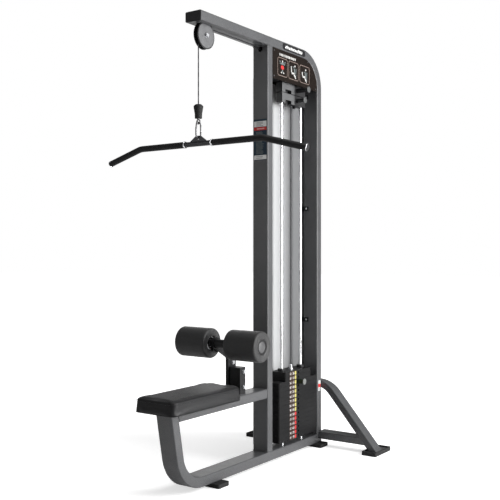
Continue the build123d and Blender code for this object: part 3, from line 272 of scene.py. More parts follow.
# %% Floor and backdrop
floor_look = Look("studio_floor", base_color=(0.86, 0.86, 0.86), roughness=0.8, specular=0.1,
                  emission_color=(1, 1, 1))
distance = floor_look.node("ShaderNodeVectorMath", {"operation": "LENGTH"}, {0: floor_look.place()}, "Value")
glow = floor_look.between(distance, 0.3, 2.6) * 0.45 + 0.5            # the sweep is lit brighter farther out
floor_look.give(emission_strength=floor_look.node("ShaderNodeLightPath") * glow)     # only for the lens
bm = bmesh.new()
bmesh.ops.create_grid(bm, x_segments=1, y_segments=1, size=30)
floor_mesh = bpy.data.meshes.new("studio_floor")
bm.to_mesh(floor_mesh)
bm.free()
floor_mesh.materials.append(floor_look.material)
floor = bpy.data.objects.new("studio_floor", floor_mesh)
bpy.context.scene.collection.objects.link(floor)

world = bpy.data.worlds.new("studio")
bpy.context.scene.world = world
world.use_nodes = True
sky = world.node_tree.nodes["Background"]
sky.inputs["Color"].default_value = (1, 1, 1, 1)
seen = world.node_tree.nodes.new("ShaderNodeLightPath")
level = world.node_tree.nodes.new("ShaderNodeMapRange")
level.inputs["To Min"].default_value = 0.14       # what lights the machine
level.inputs["To Max"].default_value = 1.0       # what the lens sees
world.node_tree.links.new(seen.outputs["Is Camera Ray"], level.inputs["Value"])
world.node_tree.links.new(level.outputs[0], sky.inputs["Strength"])


# %% [markdown]
# ## Finishes
# The frame is graphite enamel with a little metal flake and the faint orange peel of a sprayed coat.
# Rubber, foam, vinyl and nylon are all black, so each is told apart by its own grain and gloss.

# %% Enamels
def enamel(name, colour, roughness, flake=0.0, peel=0.10, coat=0.25):
    """Sprayed paint: an even colour, a little flake, orange peel and dust that dulls it in places."""
    look = Look(name)
    cloud = look.between(look.noise(7.0, 4.0), 0.35, 0.7)
    darker = tuple(c * 0.86 for c in colour)
    tone = look.mix(cloud, darker, colour)
    if flake:
        spark = look.grain(2600.0, "Color")
        value = look.node("ShaderNodeSeparateXYZ", {}, {0: spark}, out=0)
        bright = tuple(min(1, c * 4 + 0.1) for c in colour)
        tone = look.mix(look.between(value, 0.86, 1.0) * flake, tone, bright)
    look.give(base_color=tone, roughness=look.noise(24.0, 3.0) * 0.12 + (roughness - 0.06), coat_weight=coat,
              coat_roughness=0.18)
    return look.bump(look.noise(420.0, 1.0), peel, 0.0006)


frame_enamel = enamel("graphite_enamel", (0.062, 0.063, 0.066), 0.42, flake=0.35)
black_enamel = enamel("black_enamel", (0.009, 0.009, 0.010), 0.42, coat=0.05).give(specular=0.22)
plate_enamel = enamel("weight_plate_enamel", (0.013, 0.013, 0.0135), 0.46, peel=0.2, coat=0.0)
plate_enamel.give(specular=0.1)


# %% Bare metal
def metal(name, colour, roughness, brushed=None, scratch=0.04):
    """Plated steel. `brushed` is the axis that its fine turning marks run round."""
    look = Look(name, metallic=1.0)
    smear = look.between(look.noise(18.0, 4.0), 0.3, 0.75)
    look.give(base_color=look.mix(smear, tuple(c * 0.9 for c in colour), colour),
              roughness=look.noise(90.0, 3.0) * 0.08 + roughness)
    lines = (look.along(brushed) * 9000.0).sine() if brushed else look.noise(600.0, 2.0)
    return look.bump(lines, scratch, 0.0002)


chrome = metal("chrome", (0.84, 0.85, 0.87), 0.06)
rod_chrome = metal("guide_rod_chrome", (0.86, 0.87, 0.88), 0.10, "Z", 0.02)
zinc = metal("zinc_plate", (0.72, 0.73, 0.75), 0.24, None, 0.08)
bar_black = metal("black_nickel", (0.085, 0.085, 0.09), 0.36, None, 0.05)


# %% Rubber, foam, vinyl and plastics
def grained(name, colour, roughness, scale, strength, distance, sheen=0.0, lighter=1.5):
    """A moulded or foamed surface: cells of one size, their hollows darker in colour as painted shade."""
    look = Look(name)
    cells = look.grain(scale)
    # Painted shade: the colour darkens into each cell's hollow, where the bump is lowest.
    look.give(base_color=look.mix(cells, tuple(c * 0.75 for c in colour), tuple(c * lighter for c in colour)),
              roughness=look.noise(40.0, 3.0) * 0.1 + (roughness - 0.05), sheen=sheen, specular=0.25)
    return look.bump(cells + look.noise(scale * 0.4, 3.0) * 0.6, strength, distance)


foot_rubber = grained("foot_rubber", (0.017, 0.017, 0.017), 0.72, 900.0, 0.25, 0.0006)
foam_skin = grained("roller_foam", (0.0105, 0.0105, 0.011), 0.5, 1300.0, 0.35, 0.0006,
                    sheen=0.14).give(specular=0.5)
grip_rubber = grained("grip_rubber", (0.012, 0.012, 0.0125), 0.55, 1600.0, 0.3, 0.0004)
vinyl = grained("seat_vinyl", (0.0105, 0.0105, 0.0113), 0.44, 620.0, 0.32, 0.0007, sheen=0.03)
nylon = grained("black_nylon", (0.014, 0.014, 0.015), 0.4, 1900.0, 0.12, 0.0003)
SHEET_FRONT, SHEET_PAINTED_SHADE = (0.52, 0.525, 0.53), (0.16, 0.162, 0.165)
PAINTED_SHADE_OVER = (0.24, 0.47)            # painted reflection: the sheet darkens from the one tone to the other, along Y
# The shroud's colour darkens towards its back, a painted reflection of the dark parts beside it.
white_gloss = grained("shroud_sheet", SHEET_FRONT, 0.24, 500.0, 0.03, 0.0003, lighter=1.12)
painted_shade_to_back = white_gloss.between(white_gloss.along(1), *PAINTED_SHADE_OVER)
white_gloss.give(base_color=white_gloss.mix(painted_shade_to_back, SHEET_FRONT, SHEET_PAINTED_SHADE))
cable_steel = metal("cable_strands", (0.055, 0.055, 0.058), 0.42)
hook_steel = metal("hook_steel", (0.17, 0.17, 0.175), 0.36, None, 0.08)
plywood = Look("seat_plywood", roughness=0.6)
rings = plywood.node("ShaderNodeTexWave", {"wave_type": "BANDS"},
                     {"Vector": plywood.place(), "Scale": 60.0, "Distortion": 6.0, "Detail": 3.0})
plywood.give(base_color=plywood.mix(rings, (0.045, 0.032, 0.022), (0.09, 0.066, 0.045)))
plywood.bump(rings, 0.1, 0.0004)
print("finishes:", len(bpy.data.materials))


# %% [markdown]
# ## The solid parts
# Tubes, plates, bolts and rods already have their true shape, so they keep their meshes and only
# get a finish. Pins, add-on weights and pulley cheeks carry two colours, told apart by coordinates;
# on the add-on weights the black behind the grey side is a painted shadow.

# %% Two-coloured parts
def two_tone(name, first, second, mask_of, roughness, strength=0.12):
    """One moulding in two colours: second where mask_of(look) is 1."""
    look = Look(name)
    mask = mask_of(look)
    cloud = look.between(look.noise(30.0, 3.0), 0.3, 0.7)
    look.give(base_color=look.mix(mask, look.mix(cloud, tuple(c * 0.85 for c in first), first),
                                  look.mix(cloud, tuple(c * 0.9 for c in second), second)),
              roughness=look.noise(60.0, 2.0) * 0.1 + roughness)
    return look.bump(look.noise(900.0, 2.0), strength, 0.0003)


KNOB_FACE = 0.0042                   # how deep the pale end of a pull knob is
pin_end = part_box("selector_pin")[1].x - KNOB_FACE
pin_green = two_tone("selector_handle", (0.008, 0.02, 0.012), (0.15, 0.155, 0.15),
                     lambda look: look.along(0) > pin_end, 0.3)
knob_looks = {}
for level in ("lower", "upper"):
    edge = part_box("addon_pin_" + level)[1].x - KNOB_FACE
    knob_looks[level] = two_tone("pull_knob_" + level, (0.006, 0.006, 0.007), (0.085, 0.088, 0.088),
                                 lambda look: look.along(0) > edge, 0.3)
addon_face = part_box("addon_weight_lower")[1].x - 0.0012
ADDON_SHADOW_FROM = 0.402             # the +X side is grey, as lit, up to here along Y; behind it, black as a painted shadow of the instruction panel
addon_grey = two_tone("addon_enamel", (0.008, 0.008, 0.009), (0.088, 0.089, 0.091),
                      lambda look: (look.along(0) > addon_face) * (look.along(1) < ADDON_SHADOW_FROM), 0.42)
cheek_low, cheek_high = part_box("pulley_cheeks")
hub = ((cheek_low.y + cheek_high.y) / 2, (cheek_low.z + cheek_high.z) / 2)
cheek_radius = (cheek_high.y - cheek_low.y) / 2


def rim_mask(look):
    """1 on a disc's rim and on everything between the two discs' outer faces."""
    dy, dz = look.along(1) - hub[0], look.along(2) - hub[1]
    far = (dy * dy + dz * dz) > (cheek_radius - 0.006) ** 2
    inside = abs(look.along(0)) < (cheek_high.x - 0.0006)
    return look.node("ShaderNodeMath", {"operation": "MAXIMUM"}, {0: far, 1: inside})


cheek_grey = two_tone("pulley_cheek_enamel", (0.115, 0.116, 0.12), (0.012, 0.012, 0.013), rim_mask, 0.36)

# %% Hand out the finishes
FINISHES = {
    frame_enamel: ("base_tube", "seat_tube", "front_upright", "top_arm", "arch_brace", "crossbars",
                   "foot_plates"),
    black_enamel: ("thigh_arm", "thigh_post", "tower_pulley_bracket", "rod_top_bar", "keeper_bar",
                   "shroud_brackets"),
    cheek_grey: ("pulley_cheeks",),
    foot_rubber: ("side_feet", "base_feet", "stack_bumpers", "cable_stopper"),
    nylon: ("tube_end_caps", "guide_bushes", "front_sheave", "tower_sheave", "roller_core_left",
            "roller_core_right"),
    plywood: ("seat_board",),
    zinc: ("seat_bolts", "thigh_bolts", "pulley_bolts", "pulley_bearings", "cable_end_bolt"),
    hook_steel: ("cable_eye", "carabiner_body", "carabiner_gate"),
    chrome: ("rod_feet", "roller_shaft", "selector_rod", "bar_collars", "bar_end_caps"),
    rod_chrome: ("guide_rods",),
    bar_black: ("lat_bar", "hanger_tab"),
    grip_rubber: ("bar_grips",),
    plate_enamel: ("top_plate", "second_plate", "pinned_plate", "resting_plates"),
    addon_grey: ("addon_weight_lower", "addon_weight_upper"),
    pin_green: ("selector_pin",),
    knob_looks["lower"]: ("addon_pin_lower",),
    knob_looks["upper"]: ("addon_pin_upper",),
    white_gloss: ("rear_shroud",),
}
panel_brown = grained("panel_laminate", (0.011, 0.008, 0.0065), 0.36, 2200.0, 0.05, 0.0002,
                      lighter=1.2).give(specular=0.09)
FINISHES[panel_brown] = ("instruction_panel", "far_top_panel")


def dress(name, look):
    node = NODES[name]
    node.data.materials.clear()
    node.data.materials.append(look.material)


for look, names in FINISHES.items():
    for name in names:
        dress(name, look)
print("dressed:", sum(len(names) for names in FINISHES.values()), "solid parts")


# %% [markdown]
# ## Weld beads
# Where two tubes meet, a real frame has a narrow rounded bead with the ripple that the torch leaves.
# Each bead is a small ring that is swept round the joint and then nudged by noise.

# %% Weld beads
def bead_path(half_a, half_b, corner, steps=8):
    """Points of a rounded rectangle round the origin, in its own plane."""
    points = []
    for quarter, (sa, sb) in enumerate(((1, 1), (-1, 1), (-1, -1), (1, -1))):
        for step in range(steps + 1):
            turn = (quarter + step / steps) * math.pi / 2
            points.append((sa * (half_a - corner) + corner * math.cos(turn),
                           sb * (half_b - corner) + corner * math.sin(turn)))
    return points


def as_mesh(curve):
    """A curve's mesh. The curve's own object is only there to be read."""
    drawn = bpy.data.objects.new("drawn", curve)
    bpy.context.scene.collection.objects.link(drawn)
    mesh = bpy.data.meshes.new_from_object(drawn.evaluated_get(bpy.context.evaluated_depsgraph_get()))
    bpy.data.objects.remove(drawn)
    return mesh


def loop_of_wire(bm, points, radius):
    """A closed round wire along points, added to the mesh."""
    curve = bpy.data.curves.new("wire", "CURVE")
    curve.dimensions, curve.bevel_depth, curve.bevel_resolution = "3D", radius, 2
    line = curve.splines.new("POLY")
    line.points.add(len(points) - 1)
    for point, co in zip(line.points, points):
        point.co = (*co, 1)
    line.use_cyclic_u = True
    bm.from_mesh(as_mesh(curve))


BEAD, BEAD_GAP, BEAD_CORNER = 0.0022, 0.0005, 0.0065


def weld(name, points):
    """A closed bead along points, rippled."""
    bm = bmesh.new()
    loop_of_wire(bm, points, BEAD)
    bmesh.ops.subdivide_edges(bm, edges=[e for e in bm.edges if e.calc_length() > 0.008], cuts=5)
    for vert in bm.verts:
        vert.co += Vector((0.3, 0.3, 0.3)) * 0.0018 * noise.noise(vert.co * 420)
    piece(name, bm, frame_enamel, "root", "frame_paint", crease=60)


def level_bead(name, z, low, high):
    """A bead round an upright tube that stands on a level face."""
    centre = ((low.x + high.x) / 2, (low.y + high.y) / 2)
    ring = bead_path((high.x - low.x) / 2 + BEAD_GAP, (high.y - low.y) / 2 + BEAD_GAP, BEAD_CORNER)
    weld(name, [(centre[0] + a, centre[1] + b, z) for a, b in ring])


front_low, front_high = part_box("front_upright")
level_bead("weld_front_upright_foot", front_low.z + 0.001, front_low, front_high)
level_bead("weld_front_upright_head", front_high.z - 0.001, front_low, front_high)
arm_low, arm_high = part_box("top_arm")
TUBE = front_high.y - front_low.y
level_bead("weld_rear_upright_foot", arm_low.z + 0.001, Vector((arm_low.x, arm_high.y - TUBE, 0)),
           Vector((arm_high.x, arm_high.y, 0)))
post_low, post_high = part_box("thigh_post")
level_bead("weld_thigh_post", post_low.z + 0.001, post_low, post_high)
seat_low, seat_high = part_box("seat_tube")
ring = bead_path((seat_high.x - seat_low.x) / 2 + BEAD_GAP, (seat_high.z - seat_low.z) / 2 + BEAD_GAP,
                 BEAD_CORNER)
weld("weld_seat_tube", [(a, seat_high.y - 0.001, (seat_low.z + seat_high.z) / 2 + b) for a, b in ring])


# %% [markdown]
# ## The seat
# The pad is foam on a board, covered in vinyl. It is crowned on top, its sides bulge a little between
# the rounded corners, and a sewn seam runs round it below the top edge. A closed block is remeshed
# evenly, blown up a little as cloth, held flat where it lies on its board, and given its seam after.

# %% Seat cushion
pad_low, pad_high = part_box("seat_pad")
PAD_INSET = 0.005
FRONT_RADIUS, REAR_RADIUS = 0.038, 0.066


def pad_outline(bm, inset, z):
    """The pad's outline at one level: small corners in front, larger ones behind."""
    loop = []
    for sx, y, sy, radius in ((1, pad_low.y, -1, FRONT_RADIUS), (1, pad_high.y, 1, REAR_RADIUS),
                              (-1, pad_high.y, 1, REAR_RADIUS), (-1, pad_low.y, -1, FRONT_RADIUS)):
        radius = radius - inset
        centre = (sx * (pad_high.x - inset - radius), y - sy * (inset + radius))
        arc = [(centre[0] + sx * radius * math.cos(t * math.pi / 16),
                centre[1] + sy * radius * math.sin(t * math.pi / 16)) for t in range(9)]
        loop += arc[::-1] if sx * sy < 0 else arc
    return [bmesh.ops.create_vert(bm, co=(x, y, z))["vert"][0] for x, y in loop]


def pad_block(inset, crown):
    """A closed block with an eased top edge."""
    bm = bmesh.new()
    rim = pad_outline(bm, inset, pad_low.z + 0.0006)
    base = bm.faces.new(rim)
    top = bmesh.ops.extrude_face_region(bm, geom=[base])["geom"]
    bmesh.ops.translate(bm, verts=[v for v in top if isinstance(v, bmesh.types.BMVert)],
                        vec=(0, 0, pad_high.z - pad_low.z - crown))
    bmesh.ops.recalc_face_normals(bm, faces=bm.faces)
    edge = [e for e in bm.edges if all(v.co.z > pad_high.z - crown - 0.002 for v in e.verts)]
    bmesh.ops.bevel(bm, geom=edge, offset=0.011, offset_type="OFFSET", affect="EDGES", segments=4,
                    profile=0.5, material=-1)
    return bm


def puffed(bm, name, voxel, pressure, cap, hold):
    """Remeshes a closed block and lets pressure fill it. hold(co) is 1 where the cloth is fixed."""
    mesh = bpy.data.meshes.new(name)
    bm.to_mesh(mesh)
    bm.free()
    pad = bpy.data.objects.new(name, mesh)
    bpy.context.scene.collection.objects.link(pad)
    even = pad.modifiers.new("even", "REMESH")
    even.mode, even.voxel_size = "VOXEL", voxel
    bpy.context.view_layer.update()
    graph = bpy.context.evaluated_depsgraph_get()
    pad.data = bpy.data.meshes.new_from_object(pad.evaluated_get(graph))
    pad.modifiers.clear()
    rest = [v.co.copy() for v in pad.data.vertices]
    group = pad.vertex_groups.new(name="hold")
    for index, co in enumerate(rest):
        group.add([index], hold(co), "REPLACE")
    cloth = pad.modifiers.new("cloth", "CLOTH")
    cloth.settings.use_pressure = True
    cloth.settings.uniform_pressure_force = pressure
    cloth.settings.effector_weights.gravity = 0
    cloth.settings.vertex_group_mass = "hold"
    for number in range(1, 21):
        bpy.context.scene.frame_set(number)
    graph = bpy.context.evaluated_depsgraph_get()
    blown = pad.evaluated_get(graph).to_mesh()
    for vert, new, old in zip(pad.data.vertices, blown.vertices, rest):
        move = new.co - old
        vert.co = old + move * min(1.0, cap / max(move.length, 1e-9))
    pad.modifiers.clear()
    bpy.context.scene.frame_set(1)
    bm = bmesh.new()
    bm.from_mesh(pad.data)
    bpy.data.objects.remove(pad)
    return bm


bm = puffed(pad_block(PAD_INSET, 0.005), "cushion", 0.006, 4.0, 0.0045,
            lambda co: 1.0 if co.z < pad_low.z + 0.004 else 0.0)
bmesh.ops.smooth_vert(bm, verts=bm.verts, factor=0.5, use_axis_x=True, use_axis_y=True, use_axis_z=True)
crown_room = pad_high.z - max(v.co.z for v in bm.verts)
for vert in bm.verts:
    across = 1 - min(1, abs(vert.co.x) / pad_high.x) ** 2
    lengthwise = 1 - min(1, abs(vert.co.y - (pad_low.y + pad_high.y) / 2) / (pad_high.y - pad_low.y) * 2) ** 4
    if vert.co.z > pad_high.z - 0.03:
        vert.co.z += max(0.0, crown_room - 0.0004) * across * lengthwise
SEAM_Z = pad_high.z - 0.017
for vert in bm.verts:                       # the seam pulls the cover in
    near = math.exp(-((vert.co.z - SEAM_Z) / 0.0035) ** 2)
    centre = Vector((0, min(max(vert.co.y, pad_low.y + 0.12), pad_high.y - 0.12), vert.co.z))
    if abs(vert.co.z - SEAM_Z) < 0.012:
        vert.co -= (vert.co - centre).normalized() * 0.0022 * near
    wrinkle = noise.noise(Vector((vert.co.x * 16, vert.co.y * 9, vert.co.z * 30)))
    vert.co.z += 0.0006 * wrinkle if vert.co.z > pad_high.z - 0.02 else 0.0
seat_cover = piece("seat_cushion", bm, vinyl, "root", "upholstery", "seat_pad", crease=80)
finer = seat_cover.modifiers.new("finer", "SUBSURF")
finer.levels = finer.render_levels = 1


# %% Piping and hem of the seat
bm = bmesh.new()
outline = bmesh.new()
seam = [Vector(v.co) for v in pad_outline(outline, 0.0036, SEAM_Z)]
hem = [Vector(v.co) for v in pad_outline(outline, 0.0062, pad_low.z + 0.0022)]
outline.free()
loop_of_wire(bm, seam, 0.0011)
loop_of_wire(bm, hem, 0.0019)
piece("seat_piping", bm, vinyl, "root", "upholstery", crease=80)
print("seat cushion:", len(seat_cover.data.vertices), "points")


# %% [markdown]
# ## Thigh rollers
# Each roller is a thick tube of closed-cell foam on a plastic core. Its ends are eased, a moulding line
# runs round each end face near the rim, and the middle is recessed: a chrome ring round the sleeve on
# the inner end, and a grey domed cap on the outer end. A roller is turned, so its section is spun.

# %% Foam, rings and domes
ROLLER_STEPS = 96
EASE = 0.009                         # how far the foam's ends are rounded
SLEEVE = 0.0222                      # the radius inside, round the core
dome_grey = two_tone("roller_cap_plastic", (0.05, 0.05, 0.052), (0.10, 0.10, 0.103),
                     lambda look: look.noise(40.0), 0.32)


def roller(side, name):
    """Foam, chrome ring and dome of one roller. side is +1 for the one on +X."""
    low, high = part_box("foam_roller_" + name)
    centre = Vector((0, (low.y + high.y) / 2, (low.z + high.z) / 2))
    radius = (high.z - low.z) / 2
    inner, outer = sorted((abs(low.x), abs(high.x)))
    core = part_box("roller_core_" + name)
    cap = (core[1].z - core[0].z) / 2
    body = "roller_" + name
    half = []
    for t in range(7):                                  # the eased shoulder
        turn = t * math.pi / 12
        half.append((EASE * (1 - math.sin(turn)), radius - EASE * (1 - math.cos(turn))))
    half = half[::-1]
    face = [(0.0, radius * 0.905), (0.0016, radius * 0.895), (0.0016, radius * 0.885), (0.0, radius * 0.875),
            (0.0003, cap + 0.006), (0.002, cap + 0.0022), (0.0075, cap)]
    near = [(inner + a, r) for a, r in face[::-1]] + [(inner + a, r) for a, r in half]
    far = [(outer - a, r) for a, r in half[::-1]] + [(outer - a, r) for a, r in face]
    middle = [(inner + (outer - inner) * t / 8, radius + 0.0003 * math.sin(t * 2.4)) for t in range(1, 8)]
    profile = near + middle + far
    inside = [(outer - 0.016, cap), (outer - 0.016, SLEEVE), (inner + 0.0155, SLEEVE), (inner + 0.0155, cap)]
    bm = bmesh.new()
    turned(bm, [(side * a, r) for a, r in profile + inside + profile[:1]], centre, "X", ROLLER_STEPS)
    foam = piece("roller_foam_" + name, bm, foam_skin, body, "foam", "foam_roller_" + name, crease=50)
    bm = bmesh.new()
    ring = [(inner + 0.0062, SLEEVE), (inner + 0.0062, 0.0325), (inner + 0.0068, 0.0333),
            (inner + 0.0078, 0.0335), (inner + 0.0078, SLEEVE), (inner + 0.0062, SLEEVE)]
    turned(bm, [(side * a, r) for a, r in ring], centre)
    piece("roller_ring_" + name, bm, chrome, body, "chrome")
    bm = bmesh.new()
    dome = [(outer - 0.0038, 0.0), (outer - 0.0012, 0.0)] + [
        (outer - 0.0012 - 0.0026 * (1 - math.cos(t * math.pi / 16)), 0.0272 * math.sin(t * math.pi / 16))
        for t in range(1, 9)] + [(outer - 0.0041, 0.0272), (outer - 0.0041, 0.0)]
    turned(bm, [(side * a, r) for a, r in dome[1:]], centre)
    piece("roller_cap_" + name, bm, dome_grey, body, "black_plastic")


roller(1, "right")
roller(-1, "left")


# %% [markdown]
# ## Cable
# A coated steel rope of six strands. The section is a six-lobed ring, and a spin that also moves along
# its axis lays it up like rope. The two hanging runs get longer or shorter as the stack lifts; each is
# laid straight over the height of its part. The top run lies in both grooves and never moves.

# %% Rope
ROPE_RADIUS, ROPE_PITCH, ROPE_STEP = 0.003, 0.045, 0.0032
LOBES, ROPE_SIDES = 6, 24


def lobed_ring(bm, centre):
    """The rope's section, level, with a lobe for each strand."""
    verts = bmesh.ops.create_circle(bm, segments=ROPE_SIDES, radius=ROPE_RADIUS, cap_ends=False)["verts"]
    for number, vert in enumerate(verts):
        vert.co *= 1 - 0.11 * (0.5 - 0.5 * math.cos(number / ROPE_SIDES * math.tau * LOBES))
    bmesh.ops.translate(bm, verts=verts, vec=centre)
    return verts + [e for e in bm.edges if all(v in set(verts) for v in e.verts)]


def swept(bm, section, **motion):
    """Spins a section through the motion and gives back the section at its far end."""
    made = bmesh.ops.spin(bm, geom=section, use_merge=False, use_normal_flip=False, use_duplicate=False,
                          **motion)["geom_last"]
    return ([v for v in made if isinstance(v, bmesh.types.BMVert)]
            + [e for e in made if isinstance(e, bmesh.types.BMEdge)])


def laid(bm, section, start, along, length):
    """Extrudes the section along a straight and turns it by one lobe every pitch."""
    steps = max(4, int(length / ROPE_STEP))
    return swept(bm, section, cent=start, axis=along, dvec=Vector(along) * length / steps,
                 angle=length / ROPE_PITCH * math.tau / LOBES, steps=steps)


def capped(bm):
    bmesh.ops.holes_fill(bm, edges=[e for e in bm.edges if e.is_boundary], sides=40)


def hanging_rope(name, node):
    low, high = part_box(node)
    foot = Vector(((low.x + high.x) / 2, (low.y + high.y) / 2, low.z))
    bm = bmesh.new()
    laid(bm, lobed_ring(bm, foot), foot, AXES["Z"], high.z - low.z)
    capped(bm)
    rope = piece(name, bm, cable_steel, None, "cable_steel", node, crease=80)
    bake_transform(rope)


hanging_rope("cable_front_rope", "cable_front_drop")
hanging_rope("cable_stack_rope", "cable_stack_drop")

run_low, run_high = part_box("cable_top_run")
wheel_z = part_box("front_sheave")[0].z / 2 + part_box("front_sheave")[1].z / 2
WRAP = run_high.z - ROPE_RADIUS - wheel_z            # from a wheel's centre to the rope's
level_run = run_high.y - run_low.y - 2 * ROPE_RADIUS - 2 * WRAP
bm = bmesh.new()
start = Vector((0, run_low.y + ROPE_RADIUS, run_low.z))
section = laid(bm, lobed_ring(bm, start), start, AXES["Z"], wheel_z - start.z)
quarter_turn = {"axis": (-1, 0, 0), "dvec": (0, 0, 0), "angle": math.pi / 2, "steps": 24}
front_wheel = Vector((0, start.y + WRAP, wheel_z))
section = swept(bm, section, cent=front_wheel, **quarter_turn)
section = laid(bm, section, front_wheel + AXES["Z"] * WRAP, AXES["Y"], level_run)
swept(bm, section, cent=(0, run_high.y - ROPE_RADIUS - WRAP, wheel_z), **quarter_turn)
capped(bm)
piece("cable_top_rope", bm, cable_steel, "root", "cable_steel", "cable_top_run", crease=80)
hanging = [high.z - low.z for low, high in (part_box("cable_front_drop"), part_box("cable_stack_drop"))]
print("cable: %.3f m and %.3f m hanging, %.3f m level" % (*hanging, level_run))


# %% [markdown]
# ## Printed parts
# Labels are thin cards. A card is a cube pressed flat, with only the four edges through its thickness
# rounded. What is printed on it is a second layer of cards, a little prouder, so that it is real
# geometry. Nothing here spells a word: the stack has its numbers, the rest is bars and figures.

# %% Cards and inks
INKS = {}


def ink(name, colour, roughness=0.42):
    """A printed colour with the slight mottle of screen print."""
    if name not in INKS:
        look = Look("ink_" + name, roughness=roughness, specular=0.2)
        look.give(base_color=look.mix(look.between(look.noise(160.0, 4.0), 0.3, 0.7),
                                      tuple(c * 0.88 for c in colour), colour))
        INKS[name] = look.bump(look.noise(1500.0, 1.0), 0.04, 0.0002)
    return INKS[name]


WHITE = ("white", (0.74, 0.74, 0.73))
PALE = ("pale", (0.47, 0.465, 0.45))
GREY = ("grey", (0.30, 0.30, 0.295))
BLACK = ("black", (0.012, 0.012, 0.013))
BROWN = ("brown", (0.052, 0.030, 0.024))
YELLOW = ("yellow", (0.50, 0.45, 0.13))
RED = ("red", (0.52, 0.035, 0.035))
NAVY = ("navy", (0.018, 0.036, 0.055))
TAUPE = ("taupe", (0.20, 0.155, 0.135))
SLATE = ("slate", (0.125, 0.145, 0.145))


def side_card(bm, x, y0, y1, z0, z1, lift=0.0003, corner=0.002):
    """A card on a face that looks along +X."""
    bar(bm, (x, y0, z0), (x + lift, y1, z1), min(corner, (y1 - y0) * 0.45, (z1 - z0) * 0.45), 4, only="X")


def front_card(bm, y, x0, x1, z0, z1, lift=0.0003, corner=0.002):
    """A card on a face that looks along -Y."""
    bar(bm, (x0, y - lift, z0), (x1, y, z1), min(corner, (x1 - x0) * 0.45, (z1 - z0) * 0.45), 4, only="Y")


def add_card(bm, card):
    """Copies a small mesh into a larger one and frees the small one."""
    mesh = bpy.data.meshes.new("card")
    card.to_mesh(mesh)
    card.free()
    bm.from_mesh(mesh)


def rounded_frame(bm, x, y0, y1, z0, z1, line, corner, lift=0.0003):
    """An outline of a rounded rectangle on a face that looks along +X."""
    card = bmesh.new()
    side_card(card, x, y0, y1, z0, z1, lift, corner)
    front = [f for f in card.faces if f.normal.x > 0.9]
    bmesh.ops.inset_region(card, faces=front, thickness=line, use_even_offset=True)
    back = [f for f in card.faces if f.normal.x < -0.9]
    middle = [f for f in card.faces if f.normal.x > 0.9 and len(f.verts) > 4]
    bmesh.ops.delete(card, geom=middle + back, context="FACES_ONLY")
    add_card(bm, card)


# %% Numbers down the weight stack
plate_boxes = [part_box("top_plate"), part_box("second_plate"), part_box("pinned_plate")]
PLATE = plate_boxes[0][1].z - plate_boxes[0][0].z
PLATE_PITCH = plate_boxes[0][0].z - plate_boxes[1][0].z
stack_face = plate_boxes[2][1].x
PLATES = 15
RED_FROM = 9                         # the plates below this one have a red band, the others a yellow one
STICKER = (0.304, 0.3745)            # a sticker's front and rear edges, along Y
FONT_SIZE, INK_DEPTH = 0.018, 0.00008


def number_mesh(text, wide, place):
    """A number as flat geometry, upright on a +X face, its left foot at place and as wide as asked."""
    curve = bpy.data.curves.new("number", "FONT")
    curve.body, curve.size, curve.extrude = text, FONT_SIZE, INK_DEPTH
    curve.resolution_u = 2
    mesh = as_mesh(curve)
    reach = max(v.co.x for v in mesh.vertices)
    mesh.transform(Matrix.Diagonal((wide / reach, 1, 1, 1)))
    mesh.transform(Matrix(((0, 0, 1, place[0]), (1, 0, 0, place[1]), (0, 1, 0, place[2]), (0, 0, 0, 1))))
    return mesh


def stickers(name, plates, body):
    """Stickers of some plates: brown ground, a colour band and two columns of numbers."""
    layers = {key: bmesh.new() for key in ("ground", "band", "low_band", "numbers")}
    for index in plates:
        z0 = plate_boxes[0][0].z - index * PLATE_PITCH
        z1 = z0 + PLATE
        left, right = STICKER
        side_card(layers["ground"], stack_face, left, right, z0 + 0.0012, z1 - 0.0012, 0.00025, 0.0015)
        band = layers["band"] if index < RED_FROM else layers["low_band"]
        side_card(band, stack_face + 0.0002, right - 0.0165, right - 0.0015, z0 + 0.0028, z1 - 0.0028, 0.0002)
        for text, start, wide in ((str(10 * (index + 1)), left + 0.002, 0.0155),
                                  (str(5 * (index + 1)), left + 0.0295, 0.0195)):
            layers["numbers"].from_mesh(number_mesh(text, wide, (stack_face + 0.00028, start, z0 + 0.0062)))
    for key, tone in (("ground", BROWN), ("band", YELLOW), ("low_band", RED), ("numbers", WHITE)):
        if layers[key].verts:
            piece(name + "_" + key, layers[key], ink(*tone), body, "plate_paint")


stickers("stack_numbers_lifted", range(3), "lifted_stack")
stickers("stack_numbers_resting", range(3, PLATES), "root")

# %% Stack: what shows between the plates
bm = bmesh.new()
low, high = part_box("resting_plates")
for index in range(3, PLATES):                      # the dark pad between two plates
    z = plate_boxes[0][0].z - index * PLATE_PITCH
    bar(bm, (low.x + 0.004, low.y + 0.004, z - 0.00035), (high.x - 0.004, high.y - 0.004, z - 0.00005))
piece("stack_pads", bm, nylon, "root", "black_plastic")


# %% [markdown]
# ## Placards
# The instruction panel has three framed figures that show the exercise, under a heading that is only
# a row of bars. The upright carries a safety placard and the arm an oblong badge, both left wordless.

# %% Instruction panel
panel_low, panel_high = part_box("instruction_panel")
face_x = panel_high.x
FRAME_Z = (panel_low.z + 0.0235, panel_low.z + 0.1245)
FRAME_LINE, FRAME_CORNER = 0.0034, 0.014
FRAMES_Y = ((0.1865, 0.2875), (0.299, 0.4035), (0.4165, 0.5245))
bm = bmesh.new()
for y0, y1 in FRAMES_Y:
    rounded_frame(bm, face_x, y0, y1, *FRAME_Z, FRAME_LINE, FRAME_CORNER)
piece("panel_frames", bm, ink(*TAUPE), "root", "panel_brown")

HEADING_Y = (0.207, 0.368)
HEADING_Z = (panel_low.z + 0.1330, panel_low.z + 0.1475)
HEADING_GAP = 0.0052
bm = bmesh.new()
heading = random.Random(4)
y = HEADING_Y[0]
while y < HEADING_Y[1]:
    wide = heading.uniform(0.007, 0.012)
    side_card(bm, face_x, y, y + wide, *HEADING_Z, corner=0.003)
    y += wide + HEADING_GAP
piece("panel_heading", bm, ink(*PALE), "root", "panel_brown")


